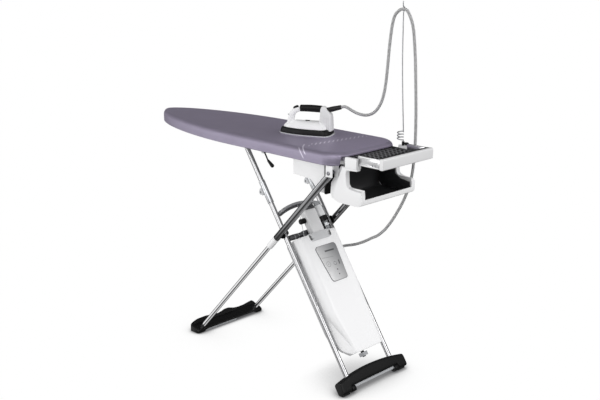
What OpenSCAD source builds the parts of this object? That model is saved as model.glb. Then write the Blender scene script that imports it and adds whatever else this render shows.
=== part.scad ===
// Active ironing board: a padded blower board on crossed folding legs, with a steam generator on
// the inner legs, a sliding iron rest, a storage basket, an iron and its steam hose on a mast.
// Frame: X runs along the board (nose at -X, iron rest at +X), Y across, Z up, floor at Z = 0.

/* [Board] */
// Length of the padded board
board_len = 1220; // [1000:5:1400]
// Width of the padded board
board_w = 370; // [330:2:440]
// Height of the ironing surface above the floor
board_top = 930; // [900:5:960]
// Depth of the cover's side skirt
skirt_h = 48; // [40:1:50]
// Thickness of the cover
cover_t = 3; // [1.5:0.5:5]
// Thickness of the foam pad
pad_t = 12; // [6:1:20]
// Thickness of the perforated top plate
plate_t = 2; // [1:0.5:3]
// Wall of the air pan
pan_wall = 3; // [2:0.5:5]
// Length of the nose's curve, as a share of the board
nose_share = 0.51; // [0.4:0.01:0.6]
// Radius of the tail's corners
tail_r = 80; // [40:5:110]
// Air holes in the top plate, rows along the board
hole_rows = 14; // [4:1:20]
// Radius of an air hole
hole_r = 5; // [3:0.5:8]

/* [Legs] */
// Distance of the outer legs from the middle
leg_a_y = 155; // [145:1:165]
// Distance of the inner legs from the middle
leg_b_y = 127; // [122:1:130]
// Where the outer legs hang from the board, along X from the tail end
hang_in = 46; // [30:1:80]
// Depth of the leg hinges below the ironing surface
hang_down = 78; // [70:1:100]
// Angle of the outer legs to the floor
angle_a = 47.07; // [44:0.01:50]
// Height of the outer foot's reference point above the floor
foot_a_z = 35; // [25:1:50]
// Height of the inner foot's reference point above the floor
foot_b_z = 55; // [50:1:60]
// Length of the outer legs above the crossing
upper_a = 407.5; // [380:0.5:430]
// Length of the inner legs above the crossing
upper_b = 378.7; // [360:0.1:400]
// Radius of the wide upper sleeves
sleeve_r = 13.5; // [12:0.5:16]
// Radius of the outer legs' lower tubes
tube_a_r = 9.5; // [8:0.5:11]
// Radius of the inner legs' tubes
tube_b_r = 10; // [8:0.5:12]
// Wall of every leg tube
tube_wall = 1.5; // [1:0.1:2.5]
// Length of sleeve below the crossing
sleeve_tail = 22; // [22:1:60]
// Length of the white bushing below each sleeve
bush_len = 60; // [20:1:66]
// Radius of the crossing axle at the legs
axle_r = 6; // [4:0.5:7]
// Radial running clearance of pins and axles
run_fit = 0.05; // [0.01:0.01:0.1]

/* [Feet] */
// Half width of the outer legs' shoe
shoe_half = 190; // [175:1:192]
// Length of the shoe along X
shoe_len = 62; // [50:1:80]
// Height of the gap under the middle of the shoe
shoe_gap = 10; // [4:1:14]
// Half width of the inner legs' foot bar
bar_half = 187; // [170:1:192]
// Thickness of the foot bar across the leg
bar_t = 38; // [30:1:46]
// Rise of the foot bar's arch
bar_rise = 20; // [5:1:30]
// Thickness of the rubber soles
sole_t = 4; // [2:0.5:8]
// Radius of the transport wheels
wheel_r = 13; // [11:0.5:14]
// Width of a transport wheel
wheel_w = 16; // [10:1:18]

/* [Steam generator] */
// Half width of the generator housing
gen_half = 112; // [100:1:114]
// Length of the housing along the legs
gen_len = 495; // [420:5:500]
// Distance of the housing's bottom from the foot reference
gen_start = 65; // [40:1:90]
// Height of the front cover above the leg plane
gen_front = 50; // [35:1:54]
// Depth of the rear tub behind the leg plane
gen_back = 45; // [30:1:60]
// Wall of the housing
gen_wall = 3; // [2:0.5:4]
// Radius of the two panel buttons
button_r = 8; // [5:0.5:10]
// Travel of the panel buttons
button_travel = 1.5; // [1:0.1:3]
// Radius of the clear filter cartridge
cartridge_r = 17; // [12:0.5:20]
// Side of the square drain cap
cap_side = 24; // [18:1:30]

/* [Tray and basket] */
// Distance of the iron rest's front face from the board's tail
rest_reach = 184; // [160:1:240]
// Half width of the iron rest
rest_half = 141; // [125:1:145]
// Height of the front bar
bar_h = 40; // [30:1:50]
// Travel of the iron rest
rest_travel = 65; // [20:1:68]
// Half width of the basket
basket_half = 152; // [120:1:160]
// Height of the basket's floor below the ironing surface
basket_drop = 184; // [150:1:200]
// Wall of the basket
basket_wall = 4; // [2:0.5:6]
// Spacing of the studs on the mat
stud_gap = 21; // [16:1:30]

/* [Mast and hose] */
// Height of the mast's tip above the floor
mast_top = 1452; // [1435:1:1600]
// Radius of the mast's wire
mast_r = 2; // [1.5:0.1:3]
// Radius of the coil at the mast's foot
coil_r = 11; // [8:0.5:14]
// Turns of that coil
coil_turns = 3; // [2:1:5]
// Diameter of the steam hose
hose_d = 11.5; // [8:0.5:13]

/* [Blower] */
// Length of the blower box
blower_len = 164; // [150:1:190]
// Half width of the blower box
blower_half = 118; // [90:1:120]
// Height of the blower box
blower_h = 130; // [90:1:131]
// Radius of the impeller
impeller_r = 68; // [50:1:80]
// Blades of the impeller
blades = 11; // [7:1:15]

/* [Iron] */
// Length of the soleplate
iron_len = 222; // [190:1:250]
// Width of the soleplate
iron_w = 110; // [95:1:125]
// Height of the iron
iron_h = 116; // [105:1:130]
// Turn of the iron on the board
iron_turn = 26; // [0:1:45]

/* [Hidden] */
$fn = 48;
soft_gap = 0.5;   // between the cover's inside and what it wraps
seat_gap = 0.3;   // between a piece and its seat on another body

// Places along the board
total_len = board_len + rest_reach;
nose_x = -total_len / 2;
tail_x = nose_x + board_len;
front_x = total_len / 2;
pad_top = board_top - cover_t;
plate_top = pad_top - pad_t;
pan_top = plate_top - plate_t;
pan_bottom = board_top - 45;
pan_h = pan_top - pan_bottom;
shelf_x = tail_x - 158;      // the iron rest slides in over the pan from here to the tail
shelf_z = pan_top - 13;
slot_half = rest_half + 1;

// Leg geometry: the outer legs hang at A, cross the inner legs at P, which slide at B
hang = [tail_x - hang_in, board_top - hang_down];
cross = hang - upper_a * [cos(angle_a), sin(angle_a)];
glide_z = pan_bottom - 17.5;
angle_b = asin((upper_a * sin(angle_a) + glide_z - hang[1]) / upper_b);
len_a = (hang[1] - foot_a_z) / sin(angle_a);
len_b = (glide_z - foot_b_z) / sin(angle_b);
foot_a = hang - len_a * [cos(angle_a), sin(angle_a)];
glide = cross + upper_b * [-cos(angle_b), sin(angle_b)];
foot_b = glide + len_b * [cos(angle_b), -sin(angle_b)];
cross_a = len_a - upper_a;   // distance of the crossing from each foot
cross_b = len_b - upper_b;

// Pieces along the legs
sleeve_start = cross_a - sleeve_tail;
tube_top_a = cross_a - axle_r - 5;
eye_y = sleeve_r + 1;        // inner face of a hinge bracket's cheeks
pin_r = 4;
arch_s = cross_b + 82;
knuckle_s = cross_b + 192;
ear_d = -28;
roller_r = 8;
rail_in = leg_b_y - 67;      // inner face of the glide rails
rail_out = rail_in + 18;
bar_s = cross_b - 24;        // the round bar between the inner legs
bar_r = 11;

// Generator places, along the inner legs (s), across (y) and above their plane (d)
gen_end = min(gen_start + gen_len, cross_b - axle_r - 35);   // clear of the crossing axle
flat_top = 78;
flat_bottom = 55;
bend_s = min(gen_start + 265, gen_end - 60);
low_front = gen_front - 16;
notch_s = gen_end - 30;
notch = [-58, 60];
panel_s = [gen_end - 207, gen_end - 57];
panel_half = [41, 57];
panel_t = 2;
power_at = [gen_end - 136, -23];
steam_at = [gen_end - 136, 12];
column_y = [-20, 42];
column_d = [12, 46];
column_top = cross_b + 70;
cartridge_at = [70, 30];
cartridge_s = [gen_end + seat_gap, cross_b + 66];
clamp_s = cross_b - 4;
lug_s = [gen_start + 50, gen_end - 90];
drain_at = [10, 0];
neck_r = 6;
gland_at = [gen_end - 73, -28];
gland_out = leg_b_y + tube_b_r + 2;

// Tray, tail brackets and basket
rest_top = board_top + 4;
bracket_top = board_top - 10;
cheek_top = board_top - 49;
bar_t_x = 18;
rail_h = bar_h - 3;
rail_t = 8;
bracket_x = [tail_x + 17, tail_x + 72];
mat_z = shelf_z + 2;
runner_z = shelf_z + 0.5;
mat_t = 4;
stud_h = 4;
floor_z = board_top - basket_drop;
mast_at = [tail_x + 38, 147];

// Blower, lever and iron places
blower_x = [tail_x - 282, tail_x - 282 + blower_len];
blower_bottom = pan_bottom - blower_h;
blower_mid = blower_x[0] + 82;
lever_at = [108, -150, pan_bottom - 11];
lever_elbow = [129, 842];
lever_end = [153, 824];
iron_at = [180, 8];
iron_base = board_top + seat_gap;

// The hose's route, chosen by hand: generator to outer leg, to the mast's ring, to the iron.
// Each route is drawn through its own points, pulled along so that both its ends meet their seats.
gland_world = [foot_b[0] - gland_at[0] * cos(angle_b) + gland_at[1] * sin(angle_b), gland_out,
  foot_b[1] + gland_at[0] * sin(angle_b) + gland_at[1] * cos(angle_b)];
hose_seam = [tail_x - 63, 174, board_top - 370];
seam_dir = [0.71, -0.071, 0.7];
ring_at = [mast_at[0] - 15, mast_at[1], mast_top - 29];
relief_x = 102.6;
relief_tilt = 15;
relief_len = 42;
relief_z = iron_h - 13;
relief_dir = [cos(relief_tilt) * cos(iron_turn), cos(relief_tilt) * sin(iron_turn),
  sin(relief_tilt)];
relief_end = [iron_at[0] + relief_x * cos(iron_turn), iron_at[1] + relief_x * sin(iron_turn),
  iron_base + relief_z] + (relief_len + seat_gap) * relief_dir;
function pulled(route, start, end) = let (n = len(route) - 1, a = start - route[0],
  b = end - route[n]) [for (i = [0:n]) route[i] + a * (1 - i / n) + b * i / n];
lower_route = pulled([[236, 139, 443], [236, 150, 443], [241, 164, 444], [254, 175, 448],
  [276, 181, 454], [305, 183, 465], [343, 183, 484], [380, 181, 506], [418, 177.5, 528],
  [455, 174, 560]], gland_world, hose_seam);
middle_route = pulled([[455, 174, 560], [488, 171, 600], [519, 169, 646], [547, 168, 695],
  [569, 168, 745], [584, 168, 797], [592, 168, 850], [596, 168, 910], [597, 168, 970],
  [596, 168, 1040], [593, 168, 1110], [590, 167, 1180], [587, 165, 1250], [584, 161, 1310],
  [581, 156, 1355], [573, 151, 1390], [559, 148, 1416], [551, 147, 1421.5], [541, 147, 1423]],
  hose_seam + seat_gap * seam_dir, ring_at + [0.1, 0, 0]);
upper_route = pulled([[541, 147, 1423], [531, 147, 1421.5], [519, 146, 1415], [505, 144, 1400],
  [496, 142, 1372], [491, 139, 1330], [487, 136, 1275], [484, 133, 1215], [481, 129, 1155], [474, 125, 1103],
  [461, 120, 1064], [440, 114, 1036], [412, 106, 1022], [380, 96, 1023], [352, 88, 1033],
  [333, 81.6, 1043], [320, 76.3, 1047], [309, 70.9, 1044.3]], ring_at, relief_end);

// Half width of the board at distance s from the nose, for a board of length l and half width w
function half_at(s, l, w) = s < nose_share * l
  ? w * pow(max(0, 1 - pow(1 - s / (nose_share * l), 1.75)), 0.606)
  : s > l - tail_r ? w - tail_r + sqrt(max(0, tail_r * tail_r - pow(s - l + tail_r, 2))) : w;
function outline_s(l) = concat([for (i = [0:22]) nose_share * l * pow(i / 22, 1.6)],
  [for (i = [0:8]) l - tail_r + tail_r * sin(i * 11.25)]);
function outline(in, side) = let (l = board_len - 2 * in, w = board_w / 2 - in)
  [for (s = outline_s(l)) [nose_x + in + s, side * half_at(s, l, w)]];
function reversed(v) = [for (i = [len(v) - 1:-1:0]) v[i]];
module board_slab(in, z0, z1) translate([0, 0, z0]) linear_extrude(z1 - z0)
  polygon(concat([for (p = outline(in, -1)) p],
    [for (p = reversed(outline(in, 1))) if (abs(p[1]) > 0.01) p]));

// A frame on a leg: local Z runs up the leg from its foot, local X stands off the leg's plane
module on_leg_a() translate([foot_a[0], 0, foot_a[1]]) rotate([0, 90 - angle_a, 0]) children();
module on_leg_b() translate([foot_b[0], 0, foot_b[1]]) rotate([0, angle_b - 90, 0]) children();
module both_sides() for (side = [-1, 1]) scale_y(side) children();
module scale_y(side) if (side > 0) children(); else mirror([0, 1, 0]) children();
module tube(r, wall, z0, z1) translate([0, 0, z0]) difference() {
  cylinder(r = r, h = z1 - z0);
  translate([0, 0, -1]) cylinder(r = r - wall, h = z1 - z0 + 2);
}
// A cylinder along Y, between two distances from the middle
module across(r, y0, y1) translate([0, y0, 0]) rotate([-90, 0, 0]) cylinder(r = r, h = y1 - y0);
// A block between two corners
module block(low, high) translate(low) cube(high - low);
// An outline in the XZ plane, extruded along Y between two distances
module side_plate(points, y0, y1)
  translate([0, y1, 0]) rotate([90, 0, 0]) linear_extrude(y1 - y0) polygon(points);
// An outline in the YZ plane, extruded along X between two distances
module front_plate(points, x0, x1)
  translate([x0, 0, 0]) rotate([90, 0, 90]) linear_extrude(x1 - x0) polygon(points);
module on_iron() translate([iron_at[0], iron_at[1], iron_base]) rotate([0, 0, iron_turn])
  children();

// A round tube swept along a smooth curve through the given points
function mix_point(p, i, t) = let (n = len(p) - 1, a = p[max(0, i - 1)], b = p[i],
  c = p[min(n, i + 1)], d = p[min(n, i + 2)])
  0.5 * (2 * b + (c - a) * t + (2 * a - 5 * b + 4 * c - d) * t * t
    + (3 * b - a - 3 * c + d) * t * t * t);
function smooth(p, steps) = concat([for (i = [0:len(p) - 2]) for (k = [0:steps - 1])
  mix_point(p, i, k / steps)], [p[len(p) - 1]]);
function unit(v) = v / norm(v);
function heading(p, i) = unit(p[min(len(p) - 1, i + 1)] - p[max(0, i - 1)]);
function carried(p, i, side) = i >= len(p) ? [] : let (h = heading(p, i),
  s = unit(side - (side * h) * h)) concat([s], carried(p, i + 1, s));
module swept(p, r, sides = 8, first = [0, 0, 1], out = undef, into = undef) {
  across_v = carried(p, 0, first);
  n = len(p);
  points = [for (i = [0:n - 1]) let (h = i == 0 && out != undef ? unit(out)
      : i == n - 1 && into != undef ? unit(into) : heading(p, i),
      u = unit(across_v[i] - (across_v[i] * h) * h), v = cross3(h, u))
    for (k = [0:sides - 1]) p[i] + r * (u * cos(360 * k / sides) + v * sin(360 * k / sides))];
  walls = [for (i = [0:n - 2]) for (k = [0:sides - 1]) [i * sides + k, (i + 1) * sides + k,
    (i + 1) * sides + (k + 1) % sides, i * sides + (k + 1) % sides]];
  ends = [[for (k = [0:sides - 1]) k], [for (k = [sides - 1:-1:0]) (n - 1) * sides + k]];
  polyhedron(points, concat(walls, ends));
}
function cross3(a, b) = [a[1] * b[2] - a[2] * b[1], a[2] * b[0] - a[0] * b[2],
  a[0] * b[1] - a[1] * b[0]];

// ---- Board ----
module cover() color([0.45, 0.42, 0.5]) difference() {
  board_slab(0, board_top - skirt_h, board_top);
  board_slab(cover_t, board_top - skirt_h - 1, pad_top);
  block([tail_x - 60, -slot_half, board_top - skirt_h - 1], [tail_x + 1, slot_half, pan_top + 1]);
}
module pad() color([0.85, 0.85, 0.82])
  board_slab(cover_t + soft_gap, plate_top, pad_top);
module top_plate() color([0.7, 0.7, 0.72]) difference() {
  board_slab(cover_t + soft_gap, pan_top, plate_top);
  for (i = [0:hole_rows - 1], j = [-2:2])
    let (x = nose_x + 120 + i * (board_len - 320) / hole_rows, y = j * board_w / 11)
      if (abs(y) < half_at(x - nose_x, board_len, board_w / 2) - 30)
        translate([x, y, pan_top - 1]) cylinder(r = hole_r, h = plate_t + 2, $fn = 24);
}
module air_pan() color([0.9, 0.9, 0.9]) difference() {
  board_slab(8, pan_bottom, pan_top);
  intersection() {
    board_slab(8 + pan_wall, pan_bottom + pan_wall, pan_top + 1);
    block([nose_x, -board_w, pan_bottom], [shelf_x - 10, board_w, board_top]);
  }
  block([shelf_x, -slot_half, shelf_z], [tail_x + 1, slot_half, pan_top + 1]);
  block([shelf_x + 6, -slot_half, pan_bottom - 1], [tail_x - 88, slot_half, shelf_z - pan_wall]);
  for (x = [-1, 1], y = [-1, 1])
    translate([blower_mid + x * 62, y * 62, pan_bottom - 1]) cylinder(r = 14, h = pan_wall + 2);
}
module glide_rails() color([0.6, 0.6, 0.62]) both_sides() difference() {
  block([glide[0] - 330, rail_in, pan_bottom - 35], [glide[0] + 75, rail_out, pan_bottom]);
  block([glide[0] - 331, rail_in + 2, pan_bottom - 33],
    [glide[0] + 76, rail_out + 1, pan_bottom - 2]);
}
module leg_brackets() color([0.85, 0.85, 0.87]) both_sides() difference() {
  block([hang[0] - 14, leg_a_y - eye_y - 3, hang[1] - 14],
    [hang[0] + 18, leg_a_y + eye_y + 3, pan_bottom]);
  block([hang[0] - 15, leg_a_y - eye_y, hang[1] - 15],
    [hang[0] + 19, leg_a_y + eye_y, pan_bottom - 6]);
  block([hang[0] - 15, leg_a_y + 3, pan_bottom - 4.5],
    [hang[0] + 19, leg_a_y + 30, pan_bottom + 1]);
  translate([hang[0], 0, hang[1]]) across(pin_r + run_fit, leg_a_y - 30, leg_a_y + 30);
}
module hinge_pins() color([0.3, 0.3, 0.32]) both_sides() translate([hang[0], 0, hang[1]]) {
  across(pin_r, leg_a_y - eye_y - 4, leg_a_y + eye_y + 3);
  across(7, leg_a_y + eye_y + 3, leg_a_y + eye_y + 6);
  across(6, leg_a_y - eye_y - 6, leg_a_y - eye_y - 3);
}

// ---- Blower ----
module blower_housing() color([0.93, 0.93, 0.93]) difference() {
  block([blower_x[0], -blower_half, blower_bottom], [blower_x[1], blower_half, pan_bottom]);
  block([blower_x[0] + 3, 3 - blower_half, blower_bottom + 3],
    [blower_x[1] - 3, blower_half - 3, pan_bottom + 1]);
  translate([blower_mid, 0, blower_bottom - 1]) cylinder(r = 52, h = 5);
}
module blower_end_cap() color([0.08, 0.08, 0.09])
  block([blower_x[1], -blower_half, blower_bottom - 4], [blower_x[1] + 10, blower_half, pan_bottom]);
module blower_grille() color([0.2, 0.2, 0.2]) translate([blower_mid, 0, blower_bottom + 3])
  difference() {
    cylinder(r = 58, h = 3);
    for (y = [-42:12:42]) block([-sqrt(2304 - y * y), y - 4, -1], [sqrt(2304 - y * y), y + 4, 4]);
  }
module blower_motor() color([0.4, 0.4, 0.42]) translate([blower_mid, 0, 0]) difference() {
  union() {
    translate([0, 0, pan_bottom - 48]) cylinder(r = 36, h = 48);
    translate([0, 0, pan_bottom - 4]) cylinder(r = 44, h = 4);
  }
  translate([0, 0, pan_bottom - 49]) cylinder(r = pin_r + run_fit, h = 26);
}
module impeller() color([0.15, 0.15, 0.16]) translate([blower_mid, 0, pan_bottom - 82]) {
  cylinder(r = pin_r, h = 56);
  cylinder(r = 12, h = 30);
  translate([0, 0, 27]) cylinder(r = impeller_r, h = 3);
  for (i = [0:blades - 1]) rotate([0, 0, i * 360 / blades]) translate([28, 0, 4]) rotate([0, 0, 35])
    block([0, -1, 0], [impeller_r - 34, 1, 24]);
}

// ---- Height lever ----
module lever_bracket() color([0.5, 0.5, 0.52]) translate(lever_at) {
  block([-9, -9, 8], [9, 9, 11]);
  for (y = [-9, 6]) block([-6, y, -6], [6, y + 3, 9]);
  across(3, -10, 10);
}
module lever_arm() color([0.05, 0.05, 0.05]) {
  translate(lever_at) difference() {
    across(6, -5.7, 5.7);
    across(3 + run_fit, -7, 7);
  }
  translate(lever_at) rotate([0, 90 + atan2(lever_at[2] - lever_elbow[1],
    lever_elbow[0] - lever_at[0]), 0]) translate([0, 0, 5]) cylinder(r = 3,
    h = norm(lever_elbow - [lever_at[0], lever_at[2]]) - 6.1);
}
module lever_grip() color([0.05, 0.05, 0.05]) translate([lever_elbow[0], lever_at[1], lever_elbow[1]])
  rotate([0, 90 + atan2(lever_elbow[1] - lever_end[1], lever_end[0] - lever_elbow[0]), 0])
    {
      cylinder(r1 = 4.5, r2 = 7.5, h = norm(lever_end - lever_elbow));
      translate([0, 0, norm(lever_end - lever_elbow)]) sphere(r = 7.5);
    }

// ---- Tail brackets, basket and mast ----
// Side view of the basket, drawn in by a distance from its outer faces
function basket_side(in) = [[tail_x - 20 + in, pan_bottom - 7], [tail_x - 68 + in, floor_z + 62],
  [tail_x - 71 + in, floor_z + 22], [tail_x - 66 + in, floor_z + 7 + in / 2],
  [tail_x - 48 + in / 3, floor_z + in], [tail_x + 80 - in / 3, floor_z + in],
  [tail_x + 93 - in, floor_z + 7 + in / 2], [tail_x + 96 - in, floor_z + 22]];
cheek_side = [[tail_x + 3, cheek_top], [tail_x - 32, floor_z + 51], [tail_x - 38, floor_z + 20],
  [tail_x - 32, floor_z + 6], [tail_x - 16, floor_z], [tail_x + 80, floor_z],
  [tail_x + 93, floor_z + 7], [tail_x + 96, floor_z + 22], [tail_x + 96, floor_z + 48],
  [tail_x + 90, floor_z + 54], [tail_x + 48, floor_z + 57], [tail_x + 30, floor_z + 62],
  [tail_x + 22, floor_z + 72], [tail_x + 19, cheek_top - 19], [tail_x + 24, cheek_top - 9],
  [tail_x + 72, cheek_top - 6], [tail_x + 72, cheek_top]];
cheek_in = basket_half - 20;   // inner face of the basket's cheeks
module tail_brackets() color([0.95, 0.95, 0.95]) both_sides() difference() {
  block([bracket_x[0], rest_half - 13, cheek_top], [bracket_x[1], basket_half + 3, bracket_top]);
  block([bracket_x[0] - 1, rest_half - rail_t - 1, rest_top - rail_h - 3],
    [bracket_x[1] + 1, rest_half + 1, rest_top - 2]);
  block([bracket_x[0] - 1, rest_half - 20, rest_top - rail_h - 3],
    [bracket_x[1] + 1, rest_half - rail_t, bracket_top + 1]);
}
module basket_shell() color([0.95, 0.95, 0.95]) {
  both_sides() side_plate(cheek_side, cheek_in, basket_half);
  difference() {
    side_plate(concat(basket_side(0), [[tail_x + 96, floor_z + 24], [tail_x + 90, pan_bottom - 7]]),
      -cheek_in - 2, cheek_in + 2);
    side_plate(concat([[tail_x - 20 + basket_wall, pan_bottom + 1]], basket_side(basket_wall),
      [[tail_x + 96 - basket_wall, floor_z + 25], [tail_x + 200, floor_z + 25],
      [tail_x + 200, pan_bottom + 1]]), -cheek_in, cheek_in);
    block([tail_x + 1, -basket_half, floor_z + 60], [tail_x + 200, basket_half, pan_bottom + 2]);
  }
  difference() {
    block([tail_x - 60, -110, pan_bottom - 8], [tail_x - 18, 110, pan_bottom]);
    for (y = [-90, -30, 30, 90]) translate([tail_x - 40, y, pan_bottom - 9])
      cylinder(r = 3, h = 10, $fn = 24);
  }
}
module basket_liner() color([0.1, 0.1, 0.11]) {
  in = basket_wall + 0.2;
  t = 2.5;
  half = cheek_in - 0.3;
  difference() {
    side_plate(concat([[tail_x - 20 + in, pan_bottom - 10]], basket_side(in), [[tail_x + 85,
      pan_bottom - 10]]), -half, half);
    side_plate(concat([[tail_x - 20 + in + t, pan_bottom]], basket_side(in + t),
      [[tail_x + 96 - in - t, floor_z + 23], [tail_x + 200, floor_z + 23],
      [tail_x + 200, pan_bottom]]), -half - 1, half + 1);
  }
  both_sides() side_plate([[tail_x - 13, pan_bottom - 12], [tail_x - 61, floor_z + 60],
    [tail_x - 64, floor_z + 24], [tail_x - 43, floor_z + in + 1], [tail_x + 78, floor_z + in + 1],
    [tail_x + 90.5, floor_z + 22], [tail_x + 88, floor_z + 44], [tail_x + 44, floor_z + 50],
    [tail_x + 16, floor_z + 66], [tail_x + 13, pan_bottom - 12]], half - 2, half);
}
module mast_socket() color([0.12, 0.12, 0.13]) translate([mast_at[0], mast_at[1], bracket_top])
  difference() {
    union() {
      cylinder(r = 5.2, h = 15);
      translate([0, 0, 8]) rotate([0, 90, 0]) cylinder(r = 4.5, h = 11);
    }
    translate([0, 0, 3]) cylinder(r = mast_r + run_fit, h = 15);
    translate([0, 0, 8]) rotate([0, 90, 0]) cylinder(r = 2.5 + run_fit, h = 12);
  }
// The mast is one bent wire: a foot, a sideways coil, a long bowed rod and a ring for the hose
coil_low = bracket_top + 21;
coil_pitch = 11;
hook_r = hose_d / 2 + mast_r + seat_gap;
mast_path = concat(
  [[mast_at[0], mast_at[1], bracket_top + 4], [mast_at[0], mast_at[1], bracket_top + 12],
   [mast_at[0], mast_at[1], coil_low - 3]],
  [for (i = [0:coil_turns * 12]) let (a = 45 - i * 30) [mast_at[0] - coil_r * (cos(45) - cos(a)),
    mast_at[1] - coil_r * (sin(45) - sin(a)), coil_low + coil_pitch * i / 12]],
  [[mast_at[0] - 1, mast_at[1], coil_low + coil_pitch * coil_turns + 8],
   [mast_at[0] - 7, mast_at[1], coil_low + coil_pitch * coil_turns + 110],
   [mast_at[0] - 13, mast_at[1], coil_low + coil_pitch * coil_turns + 230],
   [mast_at[0] - 15, mast_at[1], mast_top - 140], [ring_at[0], ring_at[1], ring_at[2] - 30]],
  [for (i = [0:6]) let (a = 30 * i - 90)
    ring_at + hook_r * [0, cos(a), sin(a)]],
  [[ring_at[0], ring_at[1] - 3, mast_top - 14], [ring_at[0], ring_at[1] - 2, mast_top]]);
module mast_rod() color([0.8, 0.8, 0.82]) swept(mast_path, mast_r, 8, [1, 0, 0]);
module mast_knob() color([0.1, 0.1, 0.1]) translate([mast_at[0], mast_at[1], bracket_top + 8])
  rotate([0, 90, 0]) {
    translate([0, 0, 3]) cylinder(r = 2.5, h = 10);
    difference() {
      translate([0, 0, 11.3]) cylinder(r = 6, h = 12);
      for (i = [0:5]) rotate([0, 0, i * 60]) translate([7, 0, 10]) cylinder(r = 2, h = 15, $fn = 16);
    }
  }

// ---- Iron rest ----
module tray_bar() color([0.85, 0.86, 0.88]) difference() {
  block([front_x - bar_t_x, -rest_half, rest_top - bar_h], [front_x, rest_half, rest_top]);
  block([front_x - bar_t_x - 1, 3 - rest_half, rest_top - bar_h + 4],
    [front_x - 4, rest_half - 3, mat_z - 3]);
}
module tray_rails() color([0.75, 0.75, 0.77]) both_sides() difference() {
  side_plate([[tail_x - 78, runner_z], [bracket_x[1] - 4, runner_z],
    [bracket_x[1] - 4, rest_top - rail_h - 1], [front_x - bar_t_x, rest_top - rail_h - 1],
    [front_x - bar_t_x, rest_top - 2.5], [bracket_x[1] - 4, rest_top - 2.5],
    [bracket_x[1] - 4, mat_z + 9], [tail_x - 78, mat_z + 9]], rest_half - rail_t, rest_half);
  for (x = [front_x - 50, front_x - 38]) translate([x, 0, rest_top - rail_h + 7])
    across(2.5, rest_half - 2, rest_half + 1);
}
module tray_mat() color([0.07, 0.07, 0.08]) {
  mat_half = rest_half - rail_t;
  block([tail_x - 18, -mat_half, mat_z], [front_x - bar_t_x, mat_half, mat_z + mat_t]);
  for (x = [tail_x - 4:stud_gap:front_x - bar_t_x - 10], y = [-5.5:1:5.5])
    if (abs(y * stud_gap) < mat_half - 6)
      translate([x, y * stud_gap, mat_z + mat_t]) cylinder(r = 5, h = stud_h, $fn = 24);
}

// ---- Outer legs ----
module leg_a_sleeves() color([0.8, 0.8, 0.82]) both_sides() difference() {
  translate([0, leg_a_y, 0]) on_leg_a() {
    tube(sleeve_r, tube_wall, sleeve_start, len_a - 20);
    translate([0, 0, len_a - 22]) cylinder(r = sleeve_r, h = 22);
    translate([0, 0, len_a]) across(sleeve_r, -sleeve_r, sleeve_r);
  }
  translate([hang[0], 0, hang[1]]) across(pin_r + run_fit, leg_a_y - 40, leg_a_y + 40);
  translate([cross[0], 0, cross[1]]) across(axle_r + run_fit, leg_a_y - 40, leg_a_y + 40);
}
module leg_a_bushings() color([0.95, 0.95, 0.95]) both_sides()
  translate([0, leg_a_y, 0]) on_leg_a() difference() {
    union() {
      translate([0, 0, sleeve_start - bush_len]) cylinder(r = sleeve_r - 0.5, h = bush_len);
      cylinder(r = sleeve_r - tube_wall - 0.1, h = min(sleeve_start + 18, cross_a - axle_r - 1));
    }
    translate([0, 0, -1]) cylinder(r = tube_a_r + run_fit, h = sleeve_start + 30);
    translate([0, 0, -1]) cylinder(r = sleeve_r, h = sleeve_start - bush_len + 1);
  }
module leg_a_tubes() color([0.85, 0.85, 0.87]) both_sides()
  translate([0, leg_a_y, 0]) on_leg_a() tube(tube_a_r, tube_wall, -18, tube_top_a);
module leg_a_shoe() color([0.06, 0.06, 0.06]) {
  back_x = foot_a[0] - 57;
  front = back_x + shoe_len;
  difference() {
    union() {
      side_plate([[back_x, 0], [front, 0], [front, 12], [front - 22, 25], [back_x + 12, 30],
        [back_x, 27]], -shoe_half, shoe_half);
      front_plate([[-shoe_half, 5], [shoe_half, 5], [shoe_half, 26], [178, 42], [155, 43],
        [125, 37], [90, 36], [60, 40], [30, 48], [0, 48], [-30, 43], [-60, 42], [-100, 47],
        [-150, 47], [-178, 38], [-shoe_half, 24]], back_x, back_x + 11);
    }
    both_sides() translate([0, leg_a_y, 0]) on_leg_a()
      translate([0, 0, -18]) cylinder(r = tube_a_r + 0.1, h = 100);
    front_plate([[40 - shoe_half, -1], [48 - shoe_half, shoe_gap], [shoe_half - 48, shoe_gap],
      [shoe_half - 40, -1]], back_x - 1, front + 1);
  }
}
module cross_axle() color([0.12, 0.12, 0.13]) translate([cross[0], 0, cross[1]]) both_sides() {
  across(axle_r, leg_b_y - tube_b_r - 6, leg_a_y + sleeve_r - 2);
  across(9, leg_b_y - tube_b_r - 6, leg_b_y - tube_b_r - 1);
  across(18, leg_b_y + tube_b_r + 0.4, leg_a_y - sleeve_r - 0.1);
}

// ---- Inner legs ----
module leg_b_tubes() color([0.85, 0.85, 0.87]) both_sides() difference() {
  translate([0, leg_b_y, 0]) on_leg_b() {
    tube(tube_b_r, tube_wall, -22, len_b - 16);
    translate([0, 0, len_b - 18]) cylinder(r = tube_b_r, h = 22);
  }
  translate([cross[0], 0, cross[1]]) across(axle_r + run_fit, leg_b_y - 40, leg_b_y + 40);
  translate([glide[0], 0, glide[1]]) across(pin_r + run_fit, leg_b_y - 40, leg_b_y + 2);
}
module leg_b_knuckles() color([0.9, 0.9, 0.91]) both_sides() translate([0, leg_b_y, 0]) on_leg_b()
  difference() {
    union() {
      translate([0, 0, knuckle_s - 58]) cylinder(r = tube_b_r + 2, h = 96);
      block([ear_d, -3, knuckle_s - 14], [-8, 3, knuckle_s + 14]);
      translate([ear_d, 0, knuckle_s]) across(10, -3, 3);
    }
    translate([0, 0, knuckle_s - 60]) cylinder(r = tube_b_r + run_fit, h = 100);
    translate([ear_d, 0, knuckle_s]) across(4, -10, 10);
  }
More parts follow.
